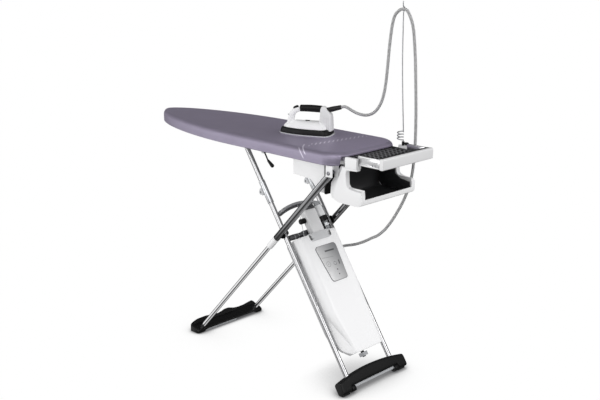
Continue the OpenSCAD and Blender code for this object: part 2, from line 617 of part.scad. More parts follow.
module leg_b_gliders() color([0.2, 0.2, 0.2]) both_sides() translate([glide[0], 0, glide[1]]) {
  across(pin_r, rail_in + 5, leg_b_y);
  across(roller_r, rail_in + 4, rail_out - 2);
}
module arch_bar() color([0.7, 0.7, 0.72]) on_leg_b() {
  half = leg_b_y - tube_b_r - 0.2;
  rise = function (y) arch_s + 22 * (1 - y * y / (half * half));
  steps = [for (i = [-8:8]) i * half / 8];
  translate([-6, 0, 0]) front_plate(concat([for (y = steps) [y, rise(y) + 6]],
    [for (y = reversed(steps)) [y, rise(y) - 6]]), 0, 12);
}
module cross_bar() color([0.12, 0.12, 0.13]) on_leg_b() translate([-3, 0, bar_s])
  across(bar_r, tube_b_r + 0.2 - leg_b_y, leg_b_y - tube_b_r - 0.2);
module foot_bar() color([0.06, 0.06, 0.06]) difference() {
  on_leg_b() difference() {
    front_plate(concat([for (i = [-8:8]) let (y = i * bar_half / 8)
        [y, bar_rise / 2 - bar_rise * y * y / (bar_half * bar_half)]],
      [[bar_half, -70], [112, -70], [104, -40], [-104, -40], [-112, -70], [-bar_half, -70]]),
      -bar_t / 2, bar_t / 2);
    both_sides() translate([0, leg_b_y, -22.2]) cylinder(r = tube_b_r + 0.1, h = 60);
  }
  block([-front_x, -300, -100], [front_x, 300, sole_t]);
  both_sides() translate([wheel_at[0], 0, wheel_at[1]]) {
    across(wheel_r + 1.5, wheel_y - wheel_w / 2 - 1, wheel_y + wheel_w / 2 + 1);
    across(3 + run_fit, wheel_y - 15, wheel_y + 15);
  }
}
wheel_y = 127;
wheel_at = [foot_b[0] + 28, wheel_r + 0.5];
module foot_soles() color([0.1, 0.1, 0.1]) intersection() {
  on_leg_b() both_sides()
    front_plate([[140, -100], [bar_half, -100], [bar_half, -20], [140, -20]], -bar_t / 2, bar_t / 2);
  block([-front_x, -300, 0], [front_x, 300, sole_t]);
}
module wheel_axles() color([0.6, 0.6, 0.62]) both_sides()
  translate([wheel_at[0], 0, wheel_at[1]]) across(3, wheel_y - 14, wheel_y + 14);
module wheel(side) color([0.15, 0.15, 0.15]) scale_y(side)
  translate([wheel_at[0], 0, wheel_at[1]]) difference() {
    across(wheel_r, wheel_y - wheel_w / 2, wheel_y + wheel_w / 2);
    across(3 + run_fit, wheel_y - 20, wheel_y + 20);
  }
module wheel_near() wheel(-1);
module wheel_far() wheel(1);

// ---- Steam generator ----
// The front cover's solid, drawn in by a distance: a crowned face that narrows towards the foot
module cover_solid(in) {
  hull() {
    block([-1, in - gen_half, bend_s], [0.5, gen_half - in, gen_end - in]);
    block([gen_front - 4 - in, in - flat_top, bend_s], [gen_front - in, flat_top - in, gen_end - in]);
    block([gen_front - 16 - in, in - 98, bend_s], [gen_front - 15 - in, 98 - in, gen_end - in]);
  }
  hull() {
    block([-1, in - gen_half, gen_start + in], [0.5, gen_half - in, bend_s + 0.1]);
    block([gen_front - 4 - in, in - flat_top, bend_s], [gen_front - in, flat_top - in, bend_s + 0.1]);
    block([low_front - 2 - in, in - flat_bottom, gen_start + in],
      [low_front - in, flat_bottom - in, gen_start + in + 1]);
  }
}
module button_holes(r) for (at = [power_at, steam_at])
  translate([20, at[1], at[0]]) rotate([0, 90, 0]) cylinder(r = r, h = 60);
module housing_back() color([0.88, 0.88, 0.88]) on_leg_b() {
  difference() {
    block([-gen_back, -gen_half, gen_start], [-1, gen_half, gen_end]);
    block([gen_wall - gen_back, gen_wall - gen_half, gen_start + gen_wall],
      [1, gen_half - gen_wall, gen_end - gen_wall]);
    block([-8, notch[0], notch_s], [1, notch[1], gen_end + 1]);
  }
  translate([drain_at[1] - 8, drain_at[0], gen_start - 23]) cylinder(r = neck_r, h = 24);
  both_sides() for (s = lug_s)
    block([-13, gen_half - 1, s], [-1, leg_b_y - tube_b_r - seat_gap, s + 40]);
}
module housing_front() color([0.95, 0.95, 0.95]) on_leg_b() difference() {
  cover_solid(0);
  intersection() {
    cover_solid(gen_wall);
    block([-0.9, -200, 0], [200, 200, 900]);
  }
  block([-2, gen_wall - gen_half, gen_start + gen_wall], [0.6, gen_half - gen_wall, gen_end - gen_wall]);
  block([-2, notch[0], notch_s], [100, notch[1], gen_end + 1]);
  button_holes(button_r + 0.6);
}
module control_panel() color([0.6, 0.6, 0.62]) on_leg_b() difference() {
  front_plate([[-panel_half[0], panel_s[0]], [panel_half[0], panel_s[0]],
    [panel_half[1], panel_s[1]], [-panel_half[1], panel_s[1]]], gen_front, gen_front + panel_t);
  button_holes(button_r + run_fit);
}
module panel_button(at) color([0.9, 0.9, 0.9]) on_leg_b()
  translate([gen_front - 5, at[1], at[0]]) rotate([0, 90, 0]) cylinder(r = button_r, h = panel_t + 7);
module power_button() panel_button(power_at);
module steam_button() panel_button(steam_at);
module boiler() color([0.75, 0.75, 0.77]) on_leg_b() translate([-3, 0, gen_start + 190])
  across(gen_back - gen_wall - 3.3, -75, 75);
module pump() color([0.08, 0.08, 0.09]) on_leg_b() translate([24, 0, cross_b + 32]) {
  across(8, -48, column_y[0] - 0.2);
  for (y = [-46:7:-25]) across(11, y, y + 4);
}
module tank_column() color([0.7, 0.71, 0.73]) on_leg_b() {
  block([column_d[0], column_y[0], notch_s], [column_d[1], column_y[1], column_top]);
  block([2, notch[0] + 0.3, notch_s - 6], [gen_front - gen_wall - 0.5, notch[1] - 0.3, notch_s]);
}
module cartridge_clamp() color([0.08, 0.08, 0.08]) on_leg_b() difference() {
  union() {
    translate([cartridge_at[1], cartridge_at[0], clamp_s]) cylinder(r = cartridge_r + 4, h = 22);
    block([20, column_y[1] + 0.2, clamp_s + 3], [34, column_y[1] + 12, clamp_s + 19]);
  }
  translate([cartridge_at[1], cartridge_at[0], clamp_s - 9])
    cylinder(r = cartridge_r + seat_gap, h = 40);
  block([cartridge_at[1] + 2, cartridge_at[0] - 30, clamp_s - 1],
    [120, cartridge_at[0] + 30, clamp_s + 23]);
  block([cartridge_at[1], cartridge_at[0] - cartridge_r - seat_gap, clamp_s - 1],
    [120, cartridge_at[0] + cartridge_r + seat_gap, clamp_s + 23]);
}
module filter_cartridge() color([0.9, 0.93, 0.95]) on_leg_b()
  translate([cartridge_at[1], cartridge_at[0], 0]) {
    translate([0, 0, cartridge_s[0]]) cylinder(r = cartridge_r, h = cartridge_s[1] - cartridge_s[0]);
    translate([0, 0, cartridge_s[1]]) cylinder(r = 12, h = 18);
  }
module drain_cap() color([0.65, 0.65, 0.67]) on_leg_b()
  translate([drain_at[1] - 8, drain_at[0], gen_start - 35]) difference() {
    block([-cap_side / 2, -cap_side / 2, 0], [cap_side / 2, cap_side / 2, 26]);
    translate([0, 0, 11]) cylinder(r = neck_r + run_fit, h = 20);
  }
module hose_gland() color([0.08, 0.08, 0.08]) on_leg_b() translate([gland_at[1], 0, gland_at[0]]) {
  across(13, gen_half + 0.1, gen_half + 4);
  across(8.5, gen_half + 4, gland_out - seat_gap);
}

// ---- Iron ----
function sole_half(t) = t < 0.72 ? pow(max(0, 1 - pow(1 - t / 0.72, 1.9)), 0.62)
  : t > 0.9 ? sqrt(max(0, 1 - 0.72 * pow((t - 0.9) / 0.1, 2))) : 1;
function sole_outline(k) = let (t = concat([for (i = [0:12]) 0.72 * pow(i / 12, 1.7)],
  [0.8, 0.9, 0.93, 0.96, 0.98, 1]))
  concat([for (a = t) [(a - 0.5) * iron_len * k, -sole_half(a) * iron_w / 2 * k]],
    [for (i = [len(t) - 1:-1:1]) [(t[i] - 0.5) * iron_len * k, sole_half(t[i]) * iron_w / 2 * k]]);
module sole_slab(k, z0, z1) translate([0, 0, z0]) linear_extrude(z1 - z0) polygon(sole_outline(k));
module iron_soleplate() color([0.8, 0.8, 0.82]) on_iron() sole_slab(1, 0, 5);
module iron_shield() color([0.05, 0.05, 0.05]) on_iron() sole_slab(0.94, 5, 21);
module iron_body() color([0.95, 0.95, 0.96]) on_iron() difference() {
  union() {
    hull() {
      sole_slab(0.96, 21, 23);
      translate([-52, -10, 46]) cube([112, 20, 4]);
    }
    hull() {
      translate([-78, -10, 28]) cube([20, 20, 4]);
      translate([-78, -9, 84]) cube([13, 18, 4]);
    }
    hull() {
      translate([-78, -9, 84]) cube([13, 18, 4]);
      translate([-58, -9, 100]) cube([10, 18, 10]);
    }
    hull() {
      translate([-58, -9, 97]) cube([10, 18, 10]);
      translate([-24, -10, iron_h - 26]) cube([2, 20, 24]);
    }
    hull() {
      translate([66, -22, 24]) cube([38, 44, 4]);
      translate([66, -15, iron_h - 30]) cube([36, 30, 18]);
      translate([66, -12, iron_h - 6]) cube([26, 24, 2]);
    }
  }
  translate([-45, -5.3, iron_h - 16]) cube([14.6, 10.6, 30]);
}
module iron_grip() color([0.05, 0.05, 0.05]) on_iron() translate([-22, 0, iron_h - 14.5])
  rotate([0, 90, 0]) cylinder(r = 14.5, h = 88);
module iron_button() color([0.05, 0.05, 0.05]) on_iron()
  translate([-44.7, -5, iron_h - 13]) cube([14, 10, 10.5]);
module iron_dial() color([0.05, 0.05, 0.05]) on_iron() translate([7, 0, 50]) {
  cylinder(r = 9, h = 4);
  translate([-9, -1.5, 4]) cube([18, 3, 2]);
}
module strain_relief() color([0.06, 0.06, 0.06]) on_iron() translate([relief_x, 0, relief_z])
  rotate([0, 90 - relief_tilt, 0]) cylinder(r1 = 11, r2 = 7, h = relief_len);

// ---- Hose ----
module hose_part(route, out, into) color([0.35, 0.35, 0.36])
  swept(smooth(route, 2), hose_d / 2, 10, [0, 0, 1], out, into);
module hose_lower() hose_part(lower_route, [0, 1, 0], seam_dir);
module hose_middle() hose_part(middle_route, seam_dir, [-1, 0, 0]);
module hose_upper() hose_part(upper_route, [-1, 0, 0], -relief_dir);

cover();
pad();
top_plate();
air_pan();
glide_rails();
leg_brackets();
hinge_pins();
blower_housing();
blower_end_cap();
blower_grille();
blower_motor();
impeller();
lever_bracket();
lever_arm();
lever_grip();
tail_brackets();
basket_shell();
basket_liner();
mast_socket();
mast_rod();
mast_knob();
tray_bar();
tray_rails();
tray_mat();
leg_a_sleeves();
leg_a_bushings();
leg_a_tubes();
leg_a_shoe();
cross_axle();
leg_b_tubes();
leg_b_knuckles();
leg_b_gliders();
arch_bar();
cross_bar();
foot_bar();
foot_soles();
wheel_axles();
wheel_near();
wheel_far();
housing_back();
housing_front();
control_panel();
power_button();
steam_button();
boiler();
pump();
tank_column();
cartridge_clamp();
filter_cartridge();
drain_cap();
hose_gland();
iron_soleplate();
iron_shield();
iron_body();
iron_grip();
iron_button();
iron_dial();
strain_relief();
hose_lower();
hose_middle();
hose_upper();
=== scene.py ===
"""An active ironing board with its steam generator, iron, hose mast and iron rest."""
import math

import bmesh
import bpy
from mathutils import Matrix, Vector


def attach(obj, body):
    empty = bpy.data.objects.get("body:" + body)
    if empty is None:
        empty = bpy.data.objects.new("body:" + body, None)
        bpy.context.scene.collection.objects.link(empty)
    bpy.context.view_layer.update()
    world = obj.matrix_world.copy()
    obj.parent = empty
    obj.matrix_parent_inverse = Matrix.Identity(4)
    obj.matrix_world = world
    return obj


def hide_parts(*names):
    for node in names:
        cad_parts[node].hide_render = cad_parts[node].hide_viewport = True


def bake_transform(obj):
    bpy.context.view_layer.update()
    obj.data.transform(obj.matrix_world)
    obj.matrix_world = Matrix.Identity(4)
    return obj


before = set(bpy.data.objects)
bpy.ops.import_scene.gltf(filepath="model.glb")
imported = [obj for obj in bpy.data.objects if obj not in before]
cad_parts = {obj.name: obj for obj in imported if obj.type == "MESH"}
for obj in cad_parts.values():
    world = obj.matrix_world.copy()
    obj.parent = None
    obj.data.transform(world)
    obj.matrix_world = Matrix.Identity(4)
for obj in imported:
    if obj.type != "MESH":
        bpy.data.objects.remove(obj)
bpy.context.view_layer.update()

MM = 0.001
TAU = 2 * math.pi


def down(angle):
    return math.radians(angle)


def mix(a, b, t):
    return a + (b - a) * t


def ease(t):
    t = min(1.0, max(0.0, t))
    return t * t * (3 - 2 * t)


def along(table, x):
    """Reads a smooth value at x from a short table of (x, value)."""
    if x <= table[0][0]:
        return table[0][1]
    for (x0, v0), (x1, v1) in zip(table, table[1:]):
        if x <= x1:
            return mix(v0, v1, (x - x0) / (x1 - x0))
    return table[-1][1]


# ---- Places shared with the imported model, in millimetres ----
BOARD_TOP, NOSE_X = 930.0, -702.0
BOARD_LEN, BOARD_HALF = 1220.0, 185.0
NOSE_SHARE, TAIL_R = 0.51, 80
CROSS = (194.45, 553.634)               # where the legs cross, as (x, z)
ANGLE_A, ANGLE_B = 47.07, 55.975        # outer and inner legs, to the floor
FOOT_A, FOOT_B = (-288.02, 35.0), (531.1, 55.0)
LEN_A, LEN_B = 1115.8, 980.3
CROSS_B = LEN_B - 378.7                 # the crossing, along the inner legs
LEG_A_Y, LEG_B_Y = 155.0, 127.0
WHEEL_X, WHEEL_Y, WHEEL_Z = 559.1, 127, 13.5
SIDES = ((-1, "near"), (1, "far"))
LEG_A = Matrix.Translation((FOOT_A[0], 0, FOOT_A[1])) @ Matrix.Rotation(down(90 - ANGLE_A), 4, "Y")
LEG_B = Matrix.Translation((FOOT_B[0], 0, FOOT_B[1])) @ Matrix.Rotation(down(ANGLE_B - 90), 4, "Y")
IRON = Matrix.Translation((180, 8, BOARD_TOP + 0.3)) @ Matrix.Rotation(down(26), 4, "Z")
WORLD = Matrix.Identity(4)


def set_at(base, at, angle=0.0, axis="X"):
    """A place in a base frame, turned about one of its axes."""
    return base @ Matrix.Translation(at) @ Matrix.Rotation(down(angle), 4, axis)


def at_leg_b(s, y, d):
    """A point s up the inner legs, y across and d out of their plane."""
    return LEG_B @ Vector((d, y, s))


# ---- Camera ----
CAMERA_AT = (2.743, -2.587, 1.669)
CAMERA_YAW, CAMERA_PITCH = 44.677, 15.533
SENSOR, FOCAL = 36.0, 56.712
SHIFT_X, SHIFT_Y = -0.00908, 0.002241667


def make_camera():
    yaw, pitch = down(CAMERA_YAW), down(CAMERA_PITCH)
    back = Vector((math.sin(yaw) * math.cos(pitch), -math.cos(yaw) * math.cos(pitch), math.sin(pitch)))
    data = bpy.data.cameras.new("camera")
    data.sensor_width, data.lens, data.clip_end = SENSOR, FOCAL, 60
    data.shift_x, data.shift_y = SHIFT_X, SHIFT_Y
    camera = bpy.data.objects.new("camera", data)
    right = Vector((math.cos(yaw), math.sin(yaw), 0))
    up = back.cross(right)
    turn = Matrix((right, up, back)).transposed()
    camera.matrix_world = Matrix.Translation(CAMERA_AT) @ turn.to_4x4()
    bpy.context.scene.collection.objects.link(camera)
    bpy.context.scene.camera = camera


make_camera()


# ---- Shaders ----
def shade(red, green, blue):
    """A screen colour, 0 to 255, as the shader's linear one."""
    def one(c):
        c /= 255
        return c / 12.92 if c <= 0.04045 else ((c + 0.055) / 1.055) ** 2.4
    return one(red), one(green), one(blue), 1.0


class Value:
    """A number that changes over a surface. A sum on it adds the Math node that works it out."""

    def __init__(self, finish, socket):
        self.finish, self.socket = finish, socket

    def maths(self, operation, *terms):
        return self.finish.node("ShaderNodeMath", {"operation": operation}, dict(enumerate(terms)))

    def __add__(self, other): return self.maths("ADD", self, other)
    def __sub__(self, other): return self.maths("SUBTRACT", self, other)
    def __mul__(self, other): return self.maths("MULTIPLY", self, other)
    def __truediv__(self, other): return self.maths("DIVIDE", self, other)
    def __abs__(self): return self.maths("ABSOLUTE", self)
    def __pow__(self, other): return self.maths("POWER", self, other)

    def most(self, other): return self.maths("MAXIMUM", self, other)
    def above(self, other): return self.maths("GREATER_THAN", self, other)
    def below(self, other): return self.maths("LESS_THAN", self, other)
    def part(self): return self.maths("FRACT", self)
    def sine(self): return self.maths("SINE", self)

    def fade(self, low, high):
        """0 below low, 1 above high, smooth between."""
        return self.finish.node("ShaderNodeMapRange", {"interpolation_type": "SMOOTHSTEP"},
                                {"Value": self, "From Min": low, "From Max": high})


class Nodes:
    """A node tree and the few ways in which it is built."""

    def __init__(self, tree):
        self.tree = tree
        tree.nodes.clear()

    def node(self, kind, settings=None, sockets=None, output=0):
        made = self.tree.nodes.new(kind)
        for key, value in (settings or {}).items():
            if key == "stops":
                ramp = made.color_ramp
                while len(ramp.elements) < len(value):
                    ramp.elements.new(1.0)
                for element, (place, colour) in zip(ramp.elements, value):
                    element.position, element.color = place, colour
            else:
                setattr(made, key, value)
        for key, value in (sockets or {}).items():
            if isinstance(value, Value):
                self.tree.links.new(value.socket, made.inputs[key])
            else:
                made.inputs[key].default_value = value
        return Value(self, made.outputs[output]) if made.outputs else None

    def place(self):
        return self.node("ShaderNodeTexCoord", output="Object")

    def xyz(self, vector):
        split = self.tree.nodes.new("ShaderNodeSeparateXYZ")
        self.tree.links.new(vector.socket, split.inputs[0])
        return [Value(self, split.outputs[i]) for i in range(3)]

    def noise(self, scale, detail=3.0, rough=0.5, stretch=None, vector=None):
        vector = vector or self.place()
        if stretch:
            vector = self.node("ShaderNodeMapping", None, {"Vector": vector, "Scale": stretch})
        return self.node("ShaderNodeTexNoise", {"noise_dimensions": "3D"},
                         {"Vector": vector, "Scale": scale, "Detail": detail, "Roughness": rough})

    def blend(self, factor, low, high):
        """A colour between two others."""
        return self.node("ShaderNodeMix", {"data_type": "RGBA"}, {0: factor, 6: low, 7: high}, 2)


class Finish(Nodes):
    """One surface finish."""

    def __init__(self, name, **fixed):
        self.material = bpy.data.materials.new(name)
        self.material.use_nodes = True
        super().__init__(self.material.node_tree)
        self.shader = self.tree.nodes.new("ShaderNodeBsdfPrincipled")
        self.node("ShaderNodeOutputMaterial", None, {"Surface": Value(self, self.shader.outputs[0])})
        for socket, value in fixed.items():
            self.shader.inputs[socket.replace("_", " ")].default_value = value

    def feed(self, socket, value):
        self.tree.links.new(value.socket, self.shader.inputs[socket])

    def bump(self, height, strength, distance):
        self.feed("Normal", self.node("ShaderNodeBump", None,
                  {"Strength": strength, "Distance": distance, "Height": height}))


def moulded(name, colour, rough, grain=0.15, scale=900.0, wear=0.06, **fixed):
    """Moulded plastic: fine grain, faint tone and gloss changes."""
    finish = Finish(name, **fixed)
    tone = finish.noise(9.0, 4.0)
    dark = tuple(c * (1 - wear) for c in colour[:3]) + (1.0,)
    light = tuple(min(1.0, c * (1 + wear)) for c in colour[:3]) + (1.0,)
    finish.feed("Base Color", finish.blend(tone, dark, light))
    finish.feed("Roughness", finish.noise(35.0, 5.0) * (rough * 0.3) + rough * 0.85)
    finish.bump(finish.noise(scale, 2.0), grain, 0.0003)
    return finish.material


def plated(name, colour, rough, smear=0.05, stretch=(1.0, 1.0, 1.0), **fixed):
    """Polished or brushed metal with faint smears."""
    finish = Finish(name, Metallic=1.0, **fixed)
    tone = finish.noise(14.0, 4.0)
    dull = tuple(c * 0.9 for c in colour[:3]) + (1.0,)
    finish.feed("Base Color", finish.blend(tone, dull, colour))
    finish.feed("Roughness", finish.noise(60.0, 5.0, 0.6, stretch) * smear + rough)
    finish.bump(finish.noise(40.0, 3.0, 0.5, stretch), 0.02, 0.0002)
    return finish.material


def weave(finish, place, pitch):
    """Height of a plain weave, from 0 to 1."""
    x, y, z = finish.xyz(place)
    warp = ((x + z * 0.6) * (TAU / pitch)).sine()
    weft = ((y + z * 0.8) * (TAU / pitch)).sine()
    return (warp * weft) * 0.5 + 0.5


def cover_cloth():
    """Metallised cotton with a printed row of dashes and strokes near the tail, and painted light that makes
    its top lighter towards the tail.
    """
    finish = Finish("cover_cloth", Metallic=0.62, Sheen_Weight=0.06, Sheen_Roughness=0.4,
                    Sheen_Tint=shade(214, 206, 232), Specular_IOR_Level=0.3)
    place = finish.place()
    x, y, z = finish.xyz(place)
    threads = weave(finish, place, 0.0016)
    cloud = finish.noise(11.0, 5.0, 0.6)
    base = finish.blend(cloud, shade(150, 142, 163), shade(166, 158, 179))
    base = finish.blend(threads * 0.35, base, shade(184, 177, 197))
    # painted light: the top face (above 928 mm) is lightened towards the tail
    base = finish.blend(x.fade(0.05, 0.5) * z.above(0.928) * 0.45, base, shade(196, 186, 214))
    # distance in from the near edge, over the top and down the side
    inward = (y + 0.185) + (z - 0.93)

    def stroke(across, inner, slope, wide, narrow):
        return abs(x - across + (inward - inner) * slope).fade(wide, narrow)
    # the row of dashes starts at (0.334, -0.107) and has one dash in each 24.7 mm
    slant = (y + 0.107 + (x - 0.334) * 1.342) / 0.0247
    off = x - 0.334 - (y + 0.107) * 0.145
    dash = abs(slant.part() - 0.5).fade(0.25, 0.1) * abs(off).fade(0.0165, 0.010)
    dash = dash * y.above(-0.117) * y.below(0.146) * z.above(0.92) * (y * -1.2 + 0.8)
    first = stroke(0.326, 0.004, 0.75, 0.0042, 0.0018)
    first = first * inward.fade(-0.041, -0.034) * inward.fade(0.012, 0.002) * 0.85
    second = stroke(0.310, 0.054, 0.745, 0.0048, 0.002)
    second = second * inward.fade(-0.026, -0.016) * inward.fade(0.058, 0.044)
    third = stroke(0.335, 0.055, 0.7, 0.004, 0.0018)
    third = third * inward.fade(0.034, 0.040) * inward.fade(0.058, 0.052) * 0.8
    printed = dash.most((first.most(second).most(third)) * y.below(-0.1))
    printed = printed * (finish.noise(420.0, 2.0) * 0.3 + 0.75)
    finish.feed("Base Color", finish.blend(printed, base, shade(236, 230, 244)))
    finish.feed("Roughness", finish.noise(70.0, 4.0) * 0.1 + 0.42)
    finish.bump(threads + finish.noise(26.0, 4.0) * 1.4, 0.25, 0.0006)
    return finish.material


def braided(name, dark, light, around=4.0, steep=4.0):
    """Braided sleeve: two families of diagonal strands, on the piece's own UV map."""
    finish = Finish(name, Sheen_Weight=0.2, Sheen_Roughness=0.4)
    u, v, _ = finish.xyz(finish.node("ShaderNodeUVMap", {"uv_map": "sleeve"}))
    right = (u * around + v * steep).part()
    left = (u * around - v * steep).part()
    check = abs(right.above(0.5) - left.above(0.5))
    strands = (right - 0.5) * (right - 0.5) + (left - 0.5) * (left - 0.5)
    tone = check * (finish.noise(700.0, 2.0) * 0.2 + 0.8)
    finish.feed("Base Color", finish.blend(tone, dark, light))
    finish.feed("Roughness", finish.noise(90.0) * 0.15 + 0.55)
    finish.bump(strands, 0.5, 0.0008)
    return finish.material


def panel_lacquer():
    """Grey lacquer, darker towards the far top corner, with plain printed marks."""
    finish = Finish("panel_lacquer", Coat_Weight=0.3, Coat_Roughness=0.12)
    x, y, z = finish.xyz(finish.place())
    s = (x - 0.5311) * -0.5595 + (z - 0.055) * 0.8288    # height along the inner legs
    tone = (y * 7.0 + (s - 0.43) * 2.6 + 0.42).fade(0.0, 1.0)
    base = finish.blend(tone, shade(214, 214, 215), shade(122, 123, 126))
    base = finish.blend(finish.noise(12.0, 4.0) * 0.12, base, shade(232, 232, 232))

    def stroke(across, up, angle, half_long, half_wide):
        c, k = math.cos(down(angle)), math.sin(down(angle))
        a, b = (y - across) * c + (s - up) * k, (s - up) * c - (y - across) * k
        return abs(a).fade(half_long + 0.0015, half_long) * abs(b).fade(half_wide * 1.7, half_wide * 0.6)

    def ring(across, up, radius, half_wide):
        far = ((y - across) * (y - across) + (s - up) * (s - up)) ** 0.5
        return abs(far - radius).fade(half_wide * 1.6, half_wide * 0.6)
    dark = stroke(0.0105, 0.4765, -1.5, 0.025, 0.0026)
    dark = dark.most(stroke(0.0345, 0.421, 82.0, 0.008, 0.0022))
    dark = dark.most(ring(0.012, 0.421, 0.0072, 0.001) * 0.8)
    dark = dark.most(stroke(-0.015, 0.4512, -5.4, 0.031, 0.0007) * 0.55)
    dark = dark.most(ring(-0.023, 0.424, 0.0102, 0.0009) * 0.6)
    dark = dark.most(((y + 0.023) * (y + 0.023) + (s - 0.424) * (s - 0.424)).below(0.0000045) * 0.8)
    finish.feed("Base Color", finish.blend(dark * 0.9, base, shade(58, 59, 62)))
    finish.feed("Roughness", finish.noise(50.0) * 0.08 + 0.3)
    finish.bump(finish.noise(1100.0, 2.0), 0.05, 0.0002)
    return finish.material


def stud_mat():
    """Dark grey mat whose studs are black."""
    finish = Finish("rest_mat")
    x, y, z = finish.xyz(finish.place())
    grain = finish.noise(900.0, 2.0)
    low = finish.blend(grain, shade(96, 96, 99), shade(122, 122, 125))
    finish.feed("Base Color", finish.blend(z.fade(0.9066, 0.9082), low, shade(17, 17, 18)))
    finish.feed("Roughness", finish.noise(60.0) * 0.15 + 0.5)
    finish.bump(grain, 0.2, 0.0004)
    return finish.material


def clear_mould():
    """Clear moulded plastic, a little milky, with flow marks."""
    finish = Finish("clear_mould", Transmission_Weight=0.75, IOR=1.45)
    flow = finish.noise(20.0, 3.0)
    finish.feed("Base Color", finish.blend(flow, shade(236, 240, 243), shade(250, 252, 253)))
    finish.feed("Roughness", finish.noise(40.0, 3.0, 0.5, (1, 1, 0.3)) * 0.12 + 0.1)
    finish.bump(finish.noise(160.0, 2.0), 0.08, 0.0004)
    return finish.material


CLOTH = cover_cloth()
ALLOY = plated("alloy_sheet", (0.72, 0.73, 0.74, 1.0), 0.3, 0.15, (1.0, 12.0, 1.0))
FOAM = moulded("open_foam", shade(226, 222, 205), 0.9, 0.6, 700.0)
WHITE = moulded("white_satin", shade(246, 246, 247), 0.36, 0.06, 1200.0, 0.012,
                Coat_Weight=0.15, Coat_Roughness=0.2)
GLOSS = moulded("white_gloss", shade(250, 250, 251), 0.36, 0.03, 1200.0, 0.01,
                Coat_Weight=0.12, Coat_Roughness=0.25)
PALE = moulded("pale_grey", shade(206, 207, 209), 0.32, 0.08, 1000.0, 0.03, Coat_Weight=0.2)
GREY = moulded("soft_grey", shade(170, 172, 175), 0.38, 0.1, 1000.0, 0.04)
BLACK = moulded("satin_black", shade(10, 10, 11), 0.45, 0.18, 800.0, 0.2, Specular_IOR_Level=0.3)
SOFT_BLACK = moulded("grip_black", shade(9, 9, 10), 0.5, 0.3, 1500.0, 0.2, Specular_IOR_Level=0.3)
RUBBER = moulded("black_rubber", shade(22, 22, 22), 0.62, 0.4, 600.0, 0.25)
MAT = stud_mat()
CHROME = plated("chrome", (0.93, 0.93, 0.94, 1.0), 0.06, 0.05)
LEG_CHROME = plated("leg_chrome", (0.52, 0.52, 0.53, 1.0), 0.17, 0.03)
# painted shade: a darker copy of the chrome for the outer legs' sleeves, whose reflections are darker than
# the lower tubes'
SHADED_SLEEVE_CHROME = plated("sleeve_chrome_painted_shade", (0.34, 0.34, 0.35, 1.0), 0.08, 0.06)
SOLE_STEEL = moulded("sole_steel", shade(226, 227, 229), 0.22, 0.04, 900.0, 0.05,
                     Metallic=0.3, Coat_Weight=0.3)
SATIN_STEEL = plated("satin_steel", (0.62, 0.63, 0.65, 1.0), 0.24, 0.14, (1.0, 1.0, 6.0))
DARK_STEEL = plated("dark_steel", (0.25, 0.25, 0.27, 1.0), 0.28, 0.12)
SILVER = moulded("silver_lacquer", shade(232, 232, 233), 0.34, 0.05, 1400.0, 0.015,
                 Metallic=0.1, Coat_Weight=0.2)
BRACE = moulded("brace_lacquer", shade(186, 187, 190), 0.3, 0.1, 1400.0, 0.03,
                Metallic=0.6, Coat_Weight=0.2)
DARK = moulded("dark_lacquer", shade(84, 84, 87), 0.3, 0.08, 1000.0, 0.1,
               Metallic=0.25, Coat_Weight=0.3)
MILKY = moulded("milky_clear", shade(247, 248, 249), 0.22, 0.03, 900.0, 0.01,
                Coat_Weight=0.6, Coat_Roughness=0.05)
PANEL = panel_lacquer()
CLEAR = clear_mould()
BLOWER_WHITE = moulded("blower_white", shade(252, 252, 253), 0.5, 0.06, 1200.0, 0.01)
# painted light: the basket liner's black is raised to dark grey to stand in for light inside the shaded
# basket
LINER_PAINTED_LIGHT = moulded("basket_black_painted_light", shade(50, 50, 52), 0.45, 0.3, 500.0, 0.15)
COLUMN = moulded("column_grey", shade(232, 232, 233), 0.3, 0.06, 1000.0, 0.02, Coat_Weight=0.3)
BRAID = braided("braided_hose", shade(14, 14, 15), shade(246, 246, 247))
LAMP = moulded("status_lamp", shade(38, 40, 42), 0.2, 0.02, 900.0, 0.1, Coat_Weight=0.6)


# ---- Mesh making ----
def loft(bm, rings, cap_start=True, cap_end=True):
    """Skins a row of closed rings with equal numbers of points."""
    first = bmesh.ops.create_circle(bm, cap_ends=False, segments=len(rings[0]), radius=1.0)["verts"]
    for vert, co in zip(first, rings[0]):
        vert.co = co
    row = list(first)
    if cap_start:
        bmesh.ops.contextual_create(bm, geom=row)
    for ring in rings[1:]:
        edges = [bm.edges.get((a, b)) for a, b in zip(row, row[1:] + row[:1])]
        made = bmesh.ops.extrude_edge_only(bm, edges=edges)["geom"]
        fresh = {v for v in made if isinstance(v, bmesh.types.BMVert)}
        following = []
        for vert, co in zip(row, ring):
            other = next(e.other_vert(vert) for e in vert.link_edges if e.other_vert(vert) in fresh)
            other.co = co
            following.append(other)
        row = following
    if cap_end:
        bmesh.ops.contextual_create(bm, geom=row)
    return bm


def prism(bm, outline, low, high, axis="Z"):
    """An outline, extruded along an axis between two distances."""
    to = {"Z": lambda p, h: Vector((p[0], p[1], h)), "Y": lambda p, h: Vector((p[0], h, p[1])),
          "X": lambda p, h: Vector((h, p[0], p[1]))}[axis]
    return loft(bm, [[to(p, h) for p in outline] for h in (low, high)])


def block(bm, low, high):
    low, high = Vector(low), Vector(high)
    made = bmesh.ops.create_cube(bm, size=1.0)["verts"]
    for vert in made:
        vert.co = Vector([(low[i] + high[i]) / 2 + vert.co[i] * (high[i] - low[i]) for i in range(3)])
    return made


def rod(bm, start, end, radius, tip=None, sides=40):
    start, end = Vector(start), Vector(end)
    turn = (end - start).to_track_quat("Z", "Y").to_matrix().to_4x4()
    return bmesh.ops.create_cone(bm, cap_ends=True, segments=sides, radius1=radius,
                                 radius2=radius if tip is None else tip, depth=(end - start).length,
                                 matrix=Matrix.Translation((start + end) / 2) @ turn)["verts"]


